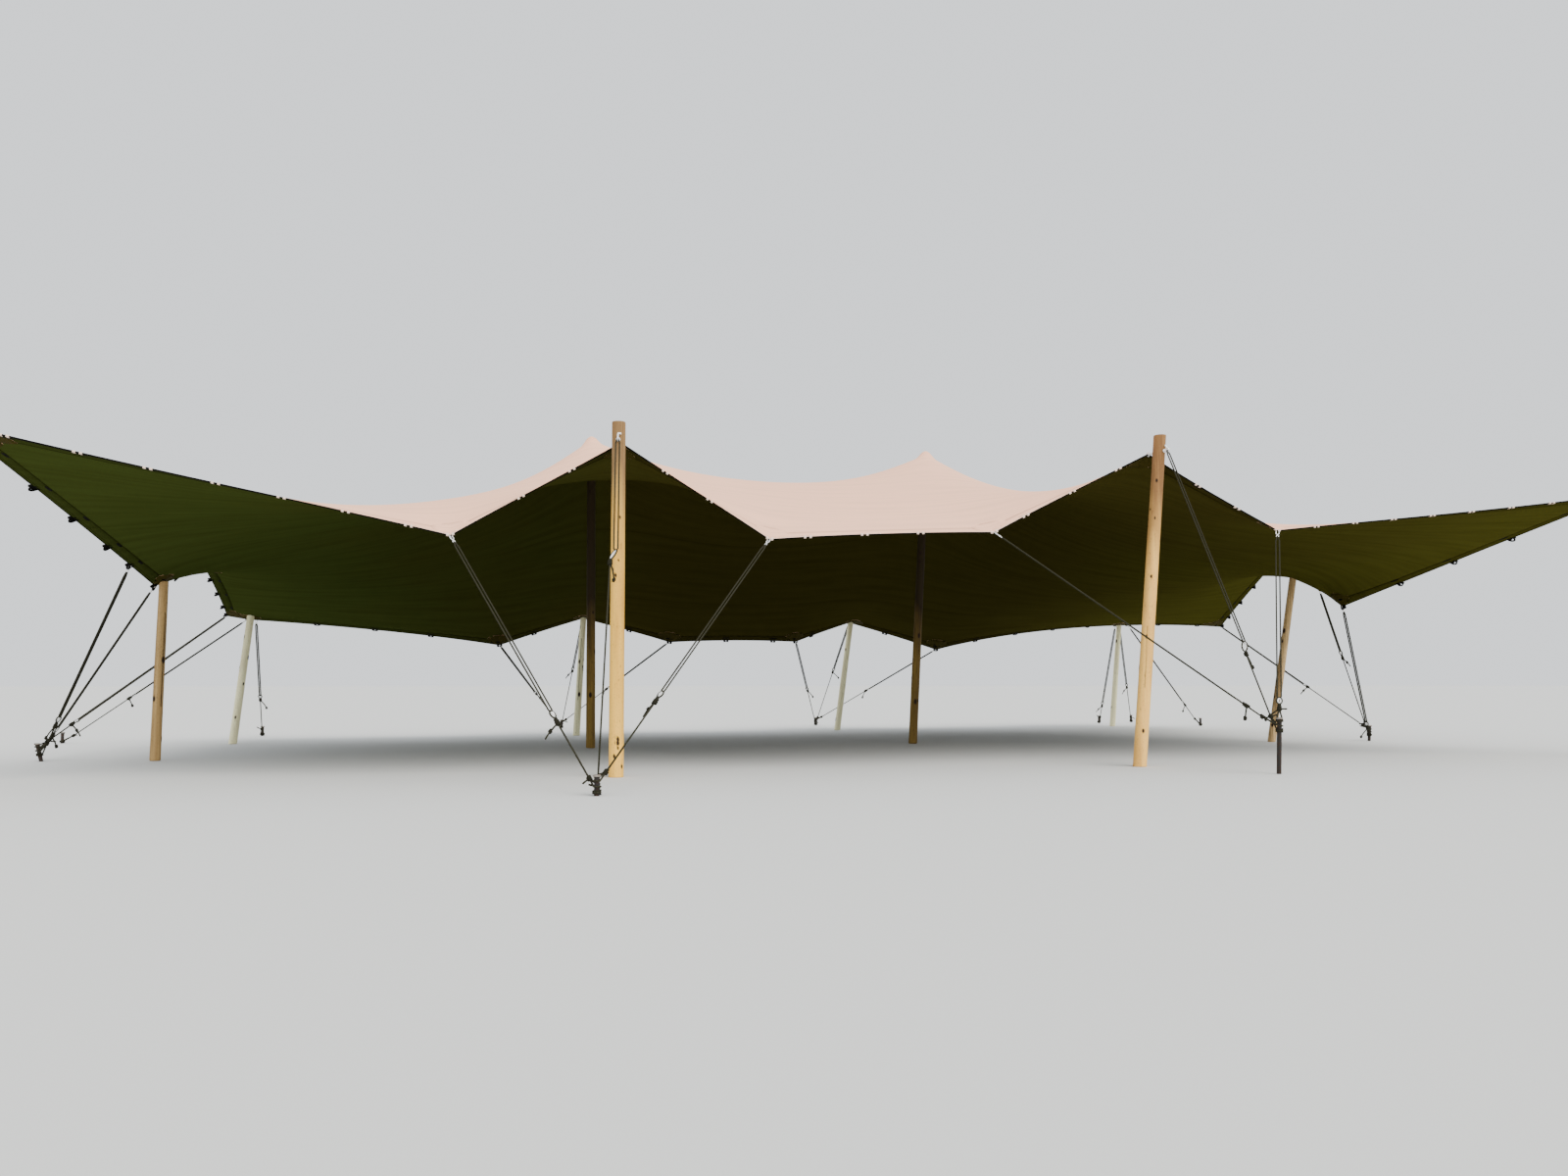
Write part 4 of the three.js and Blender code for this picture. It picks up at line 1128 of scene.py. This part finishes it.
for name, (foot, head) in STAKES.items():
    height = head.z
    bm = bmesh.new()
    line = [bm.verts.new((r, 0, z)) for r, z in stake_outline(height)]
    edges = [bm.edges.new(pair) for pair in zip(line, line[1:])]
    bmesh.ops.spin(bm, geom=line + edges, cent=(0, 0, 0), axis=(0, 0, 1), angle=math.tau, steps=28,
                   use_merge=True, use_duplicate=False)
    bmesh.ops.remove_doubles(bm, verts=bm.verts, dist=MERGE)
    uprights = [e for e in bm.edges if abs(e.verts[0].co.z - e.verts[1].co.z) > 0.05]
    bmesh.ops.subdivide_edges(bm, edges=uprights, cuts=8, use_grid_fill=True)
    for v in bm.verts:
        dent = DENT * noise.noise(v.co * 45 + foot)
        v.co.xy *= 1 + dent / max(v.co.xy.length, 0.01)
    # The head takes the pale steel: a painted highlight of its lit flat top.
    for face in bm.faces:
        face.material_index = 1 if face.calc_center_median().z > height - HEAD_HEIGHT else 0
    bmesh.ops.transform(bm, matrix=leaning(foot, (head - foot) / height), verts=bm.verts)
    finished(bm, f"{name}_steel", [stake_dark, stake_head], [name])
print("stakes", len(STAKES))

# %% [markdown]
# ## Ropes of the guys
# A guy is a loop of rope through the hook, so it is doubled down to a steel link. The single rope
# below has an eye round that link, made fast with round turns, and it goes on to a hitch. A sling
# from the hitch goes round the stake. Under load all of it is straight. Only the short ends stick
# out, stiff as they are, and one of each has a stopper knot. On the tall poles the link is longer,
# hangs askew, and has its knot right under it.

# %% Measure a guy
ROPE, HOOK = 0.007, 0.085
OPEN_STRANDS, CLOSE_STRANDS = (0.0062, 0.033), (0.0085, 0.020)  # radius, distance between the two
OPEN_ON = ("front", "left_pole", "right_pole")
POLE_OF = {"corner_left": "front_pole_corner_left", "left_pole": "front_pole_left",
           "right_pole": "front_pole_right", "corner_right": "front_pole_corner_right"}
EYE_DROP, EYE_STANDOFF, KNOT = 0.165, 0.040, 0.017


def bolt_centre(start_on):
    """The middle of a tall pole at the height of its eye bolt."""
    foot, head, top, _, _ = POLES[POLE_OF[start_on]]
    height = top - EYE_DROP
    x, y = (foot[k] + (head[k] - foot[k]) * (height / top) for k in (0, 1))
    return Vector((x, y, height))


def guy_line(name):
    """Where a guy starts, where its hook ends, its knot, its stake's axis there, and its direction."""
    start_on, cell, stake, share = GUYS[name]
    foot, head = STAKES[f"stake_{stake}"]
    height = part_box(name)[0].z + KNOT
    axis = foot.lerp(head, height / head.z)
    if start_on in POLE_OF:
        centre = bolt_centre(start_on)
        outwards = (foot - centre.xy.to_3d()).normalized()
        hold = start = centre + outwards * (TALL[1] + EYE_STANDOFF)
    else:
        hold = hem_place(start_on, cell * CELL)
        start = hold + (axis - hold).normalized() * HOOK
    towards = (start - axis).xy.to_3d().normalized()
    knot = axis + towards * (SHAFT + KNOT - 0.004)
    return hold, start, knot, axis, (knot - start).normalized()


def aside_of(along):
    """The level direction square to another."""
    return along.cross(UP).normalized()


hold, _, knot, _, _ = guy_line("guy_front_a")
print("guy_front_a is", round((knot - hold).length, 3), "m long")

# %% [markdown]
# The link of a guy hangs a little below the place of the block in its CAD solid. Three links are
# seen higher or lower. A link could lean freely, but it is set by its own matrix, with Z down
# along it, so that the eye of the rope can follow it.

# %% Place the link of a guy
LINK_BELOW = 0.110
LINK_DROP = {"guy_front_pole_left": 0.175, "guy_front_pole_right": 0.045,
             "guy_side_right_rear": -0.050}
POLE_LINK, HEM_LINK = (0.013, 0.085, 0.0050, 0.45), (0.011, 0.045, 0.0065, 0)  # half, length, wire, lean


def link_of(name):
    """A link's place, with Z down along it, its half width, its length and its wire."""
    _, start, knot, _, along = guy_line(name)
    half, length, wire, lean = POLE_LINK if GUYS[name][0] in POLE_OF else HEM_LINK
    down = (along + aside_of(along) * lean).normalized()
    bottom = start.lerp(knot, GUYS[name][3]) + along * LINK_DROP.get(name, LINK_BELOW)
    return facing(bottom - down * length, down), half, length, wire


print("link of guy_front_a at", tuple(round(x, 3) for x in link_of("guy_front_a")[0].translation))

# %% [markdown]
# A knot of stiff rope shows as a few round turns, so that is what is made: a coil by spinning.
# The free ends are sweeps that bend down a little. Seen knots and ends have numbers of their own.

# %% Knots and ends
HITCH, TAIL = 0.13, 0.16
HITCH_AWAY = {"guy_front_a": 0.07, "guy_front_b": 0.08, "guy_front_pole_left": 0.04}
TAILS = {"guy_front_a": (1, -1.0, 0.5), "guy_front_pole_left": (-1, -5.0, 0.9)}


def turns_of_rope(bm, at, along, count, radius, wire=ROPE):
    """Round turns side by side, with their middle at a point."""
    start = facing(at - along * wire * count, along)
    spun(bm, start, radius, wire, turns=count, pitch=wire * 2, steps=12, sides=7)


def rope_end(bm, at, aside, length, rise, knot_share=None):
    """A stiff end that leaves to one side and bends down a little."""
    far = at + (aside + Vector((0, 0, rise))).normalized() * length
    far.z = max(far.z, 0.010)
    middle = at.lerp(far, 0.5) + aside * length * 0.12
    path = [at.lerp(middle, k / 8).lerp(middle.lerp(far, k / 8), k / 8) for k in range(9)]
    sweep(bm, path, ROPE, sides=7)
    if knot_share:
        k = round(knot_share * 8)
        turns_of_rope(bm, path[k], (path[k] - path[k - 1]).normalized(), 2, ROPE * 1.4)


print("rope radius", ROPE, "m, strands", OPEN_STRANDS, CLOSE_STRANDS)

# %% [markdown]
# The eye follows the link's shape from above and comes together below it. Round turns hold it
# there, and a knot ends them.

# %% Tie the rope round the link
def eye_round_link(bm, name, along):
    """The eye of the single rope, its turns and its knot. Gives where the turns and the knot are."""
    place, half, length, wire = link_of(name)
    wide, tall = half + wire + ROPE * 0.8, length / 2 + wire + ROPE * 0.8
    turns = [math.pi * (0.82 * k / 8) for k in range(-8, 9)]
    eye = [place @ Vector((wide * math.sin(t), 0, length / 2 - tall * math.cos(t))) for t in turns]
    below = place @ Vector((0, 0, length + 0.010)) + along * 0.012
    sweep(bm, [below, *eye, below], ROPE * 0.9)
    wrap = 0.012 if GUYS[name][0] in POLE_OF else 0.036
    turns_of_rope(bm, below + along * wrap / 2, along, wrap / ROPE / 1.9, ROPE * 1.6, ROPE * 0.95)
    knot = below + along * (wrap + ROPE)
    turns_of_rope(bm, knot, along, 2.5, ROPE * 2, ROPE * 1.1)
    return below, knot


# %% [markdown]
# One mesh holds a whole guy: the two strands, the eye, the single rope, the hitch, the sling round
# the stake and the free ends. They lie in each other as the real turns press on each other.

# %% Make the ropes
def guy_rope(name, seed, first_on_stake):
    _, start, knot, axis, along = guy_line(name)
    aside = aside_of(along)
    source = random.Random(seed)
    bm = bmesh.new()
    top = link_of(name)[0].translation
    strand, spread = OPEN_STRANDS if GUYS[name][0] in OPEN_ON else CLOSE_STRANDS
    for side in (1, -1):
        wide = aside * side * spread / 2
        sweep(bm, [start + aside * side * 0.004, start + along * 0.05 + wide,
                   top - along * 0.02 + wide, top + wide * 0.3], strand)
    below, lump = eye_round_link(bm, name, along)
    hitch = knot - along * HITCH_AWAY.get(name, HITCH)
    sweep(bm, [below, hitch + along * 0.03], ROPE)
    turns_of_rope(bm, hitch, along, 2.5, ROPE * 1.9, ROPE * 1.1)
    drawn = source.choice((-1, 1)), source.uniform(-1.6, -0.8), source.choice((0.5, 0.9))
    sway, rise, share = TAILS.get(name, drawn)
    rope_end(bm, lump, aside * sway, TAIL, rise, share)
    sway, length, rise = source.choice((-1, 1)), source.uniform(0.06, 0.11), source.uniform(-0.6, 0.5)
    rope_end(bm, hitch, aside * sway, length, rise)
    outward = (knot - axis).normalized()
    across, reach = aside_of(outward), SHAFT + ROPE
    turns = [math.pi * (0.5 + k / 8) for k in range(9)]
    round_stake = [axis + (outward * math.cos(t) + across * math.sin(t)) * reach for t in turns]
    sweep(bm, [hitch, *round_stake, hitch - along * 0.004], ROPE)
    if first_on_stake:
        foot, head = STAKES[f"stake_{GUYS[name][2]}"]
        turns_of_rope(bm, axis, (head - foot).normalized(), 2, reach)
    finished(bm, f"{name}_rope", [rope_black], [name], smooth=0)


tied = set()
for number, name in enumerate(GUYS):
    guy_rope(name, number, GUYS[name][2] not in tied)
    tied.add(GUYS[name][2])
print("ropes", len(GUYS))

# %% [markdown]
# ## Hooks, rings and links
# The hardware of a guy is a galvanised snap hook in the hem's loop, with a swivel and an eye for
# the rope, and an oval steel link further down. All are bent from round bar, so they are sweeps
# and spins.

# %% Shape the hook and the link
def oval(bm, place, half, length, start, wire, narrow=0.0):
    path = []
    for k in range(20):
        t = math.tau * k / 20
        wide = (half - narrow * math.cos(t)) * math.sin(t)
        path.append(place @ Vector((wide, 0, start + length / 2 * (1 - math.cos(t)))))
    sweep(bm, path, wire, closed=True)


def snap_hook(bm, hold, along):
    place = facing(hold, along)
    oval(bm, place, 0.015, 0.058, -0.006, 0.0040, narrow=0.003)
    sweep(bm, [place @ Vector((-0.012, 0, z)) for z in (0.010, 0.040)], 0.0048)
    sweep(bm, [place @ Vector((0, 0, z)) for z in (0.051, 0.064)], 0.0070, sides=10)
    ring = place @ Matrix.Translation((0, 0, 0.075)) @ Matrix.Rotation(math.pi / 2, 4, "X")
    spun(bm, ring, 0.0115, 0.0034)


print("hook", HOOK, "m")

# %% [markdown]
# The tall poles have an eye bolt right through the head: its rear eye holds the hem and its front
# eye the guy. A bent bar screwed to the pole above it keeps the guy from sliding up.

# %% Make the fittings of each guy
def eye_bolt(bm, hold, name):
    start_on, cell, _, _ = GUYS[name]
    centre = bolt_centre(start_on)
    edge = hem_place("front", cell * CELL)
    sweep(bm, [hold, centre, edge], 0.0088, sides=12)
    outward = (hold - centre).normalized()
    side = outward.cross(UP)
    for at, radius in ((hold, 0.020), (edge, 0.019)):
        spun(bm, facing(at, side), radius, 0.0060)
    for out, radius in ((0.004, 0.019), (0.008, 0.013)):
        surface = centre + outward * (TALL[1] + out)
        sweep(bm, [surface, surface + outward * 0.004], radius, sides=16)
    raised = centre + Vector((0, 0, 0.050))
    bar = [raised + outward * (TALL[1] - 0.02) - side * 0.020,
           raised + outward * (TALL[1] + 0.012) - side * 0.020,
           raised + outward * (TALL[1] + 0.020),
           raised + outward * (TALL[1] + 0.026) - Vector((0, 0, 0.010)),
           hold + outward * 0.006 + Vector((0, 0, 0.014))]
    sweep(bm, bar, 0.0085, sides=10)


for name in GUYS:
    hold, _, _, _, along = guy_line(name)
    bm = bmesh.new()
    if GUYS[name][0] in POLE_OF:
        eye_bolt(bm, hold, name)
    else:
        snap_hook(bm, hold, along)
    place, half, length, wire = link_of(name)
    oval(bm, place, half, length, 0, wire)
    finished(bm, f"{name}_fittings", [galvanised], smooth=40)
print("fittings", len(GUYS))

# %% [markdown]
# ## The stage
# The floor is plain and pale, and so is the world around it. Most of the light is soft and comes
# from all over, with one wide lamp from above that gives the folds their shade.

# %% Floor and light
floor_bm = bmesh.new()
bmesh.ops.create_grid(floor_bm, x_segments=1, y_segments=1, size=300)
floor_mesh = bpy.data.meshes.new("floor")
floor_bm.to_mesh(floor_mesh)
floor_bm.free()
floor = bpy.data.objects.new("floor", floor_mesh)
bpy.context.scene.collection.objects.link(floor)
pale = Tree("floor_pale", 0.9)
pale.colour((0.62, 0.63, 0.62))
floor_mesh.materials.append(pale.material)

world = bpy.data.worlds.new("sky")
bpy.context.scene.world = world
world.use_nodes = True
background = world.node_tree.nodes["Background"]
background.inputs["Color"].default_value = (0.86, 0.89, 0.92, 1)
background.inputs["Strength"].default_value = 1.40
sun_data = bpy.data.lights.new("soft_sun", "SUN")
sun_data.energy = 3.6
sun_data.color = (1.0, 0.95, 0.88)
sun_data.angle = math.radians(50)
sun = bpy.data.objects.new("soft_sun", sun_data)
sun.rotation_euler = (math.radians(40), math.radians(20), 0)
bpy.context.scene.collection.objects.link(sun)
print("sun strength", sun_data.energy)
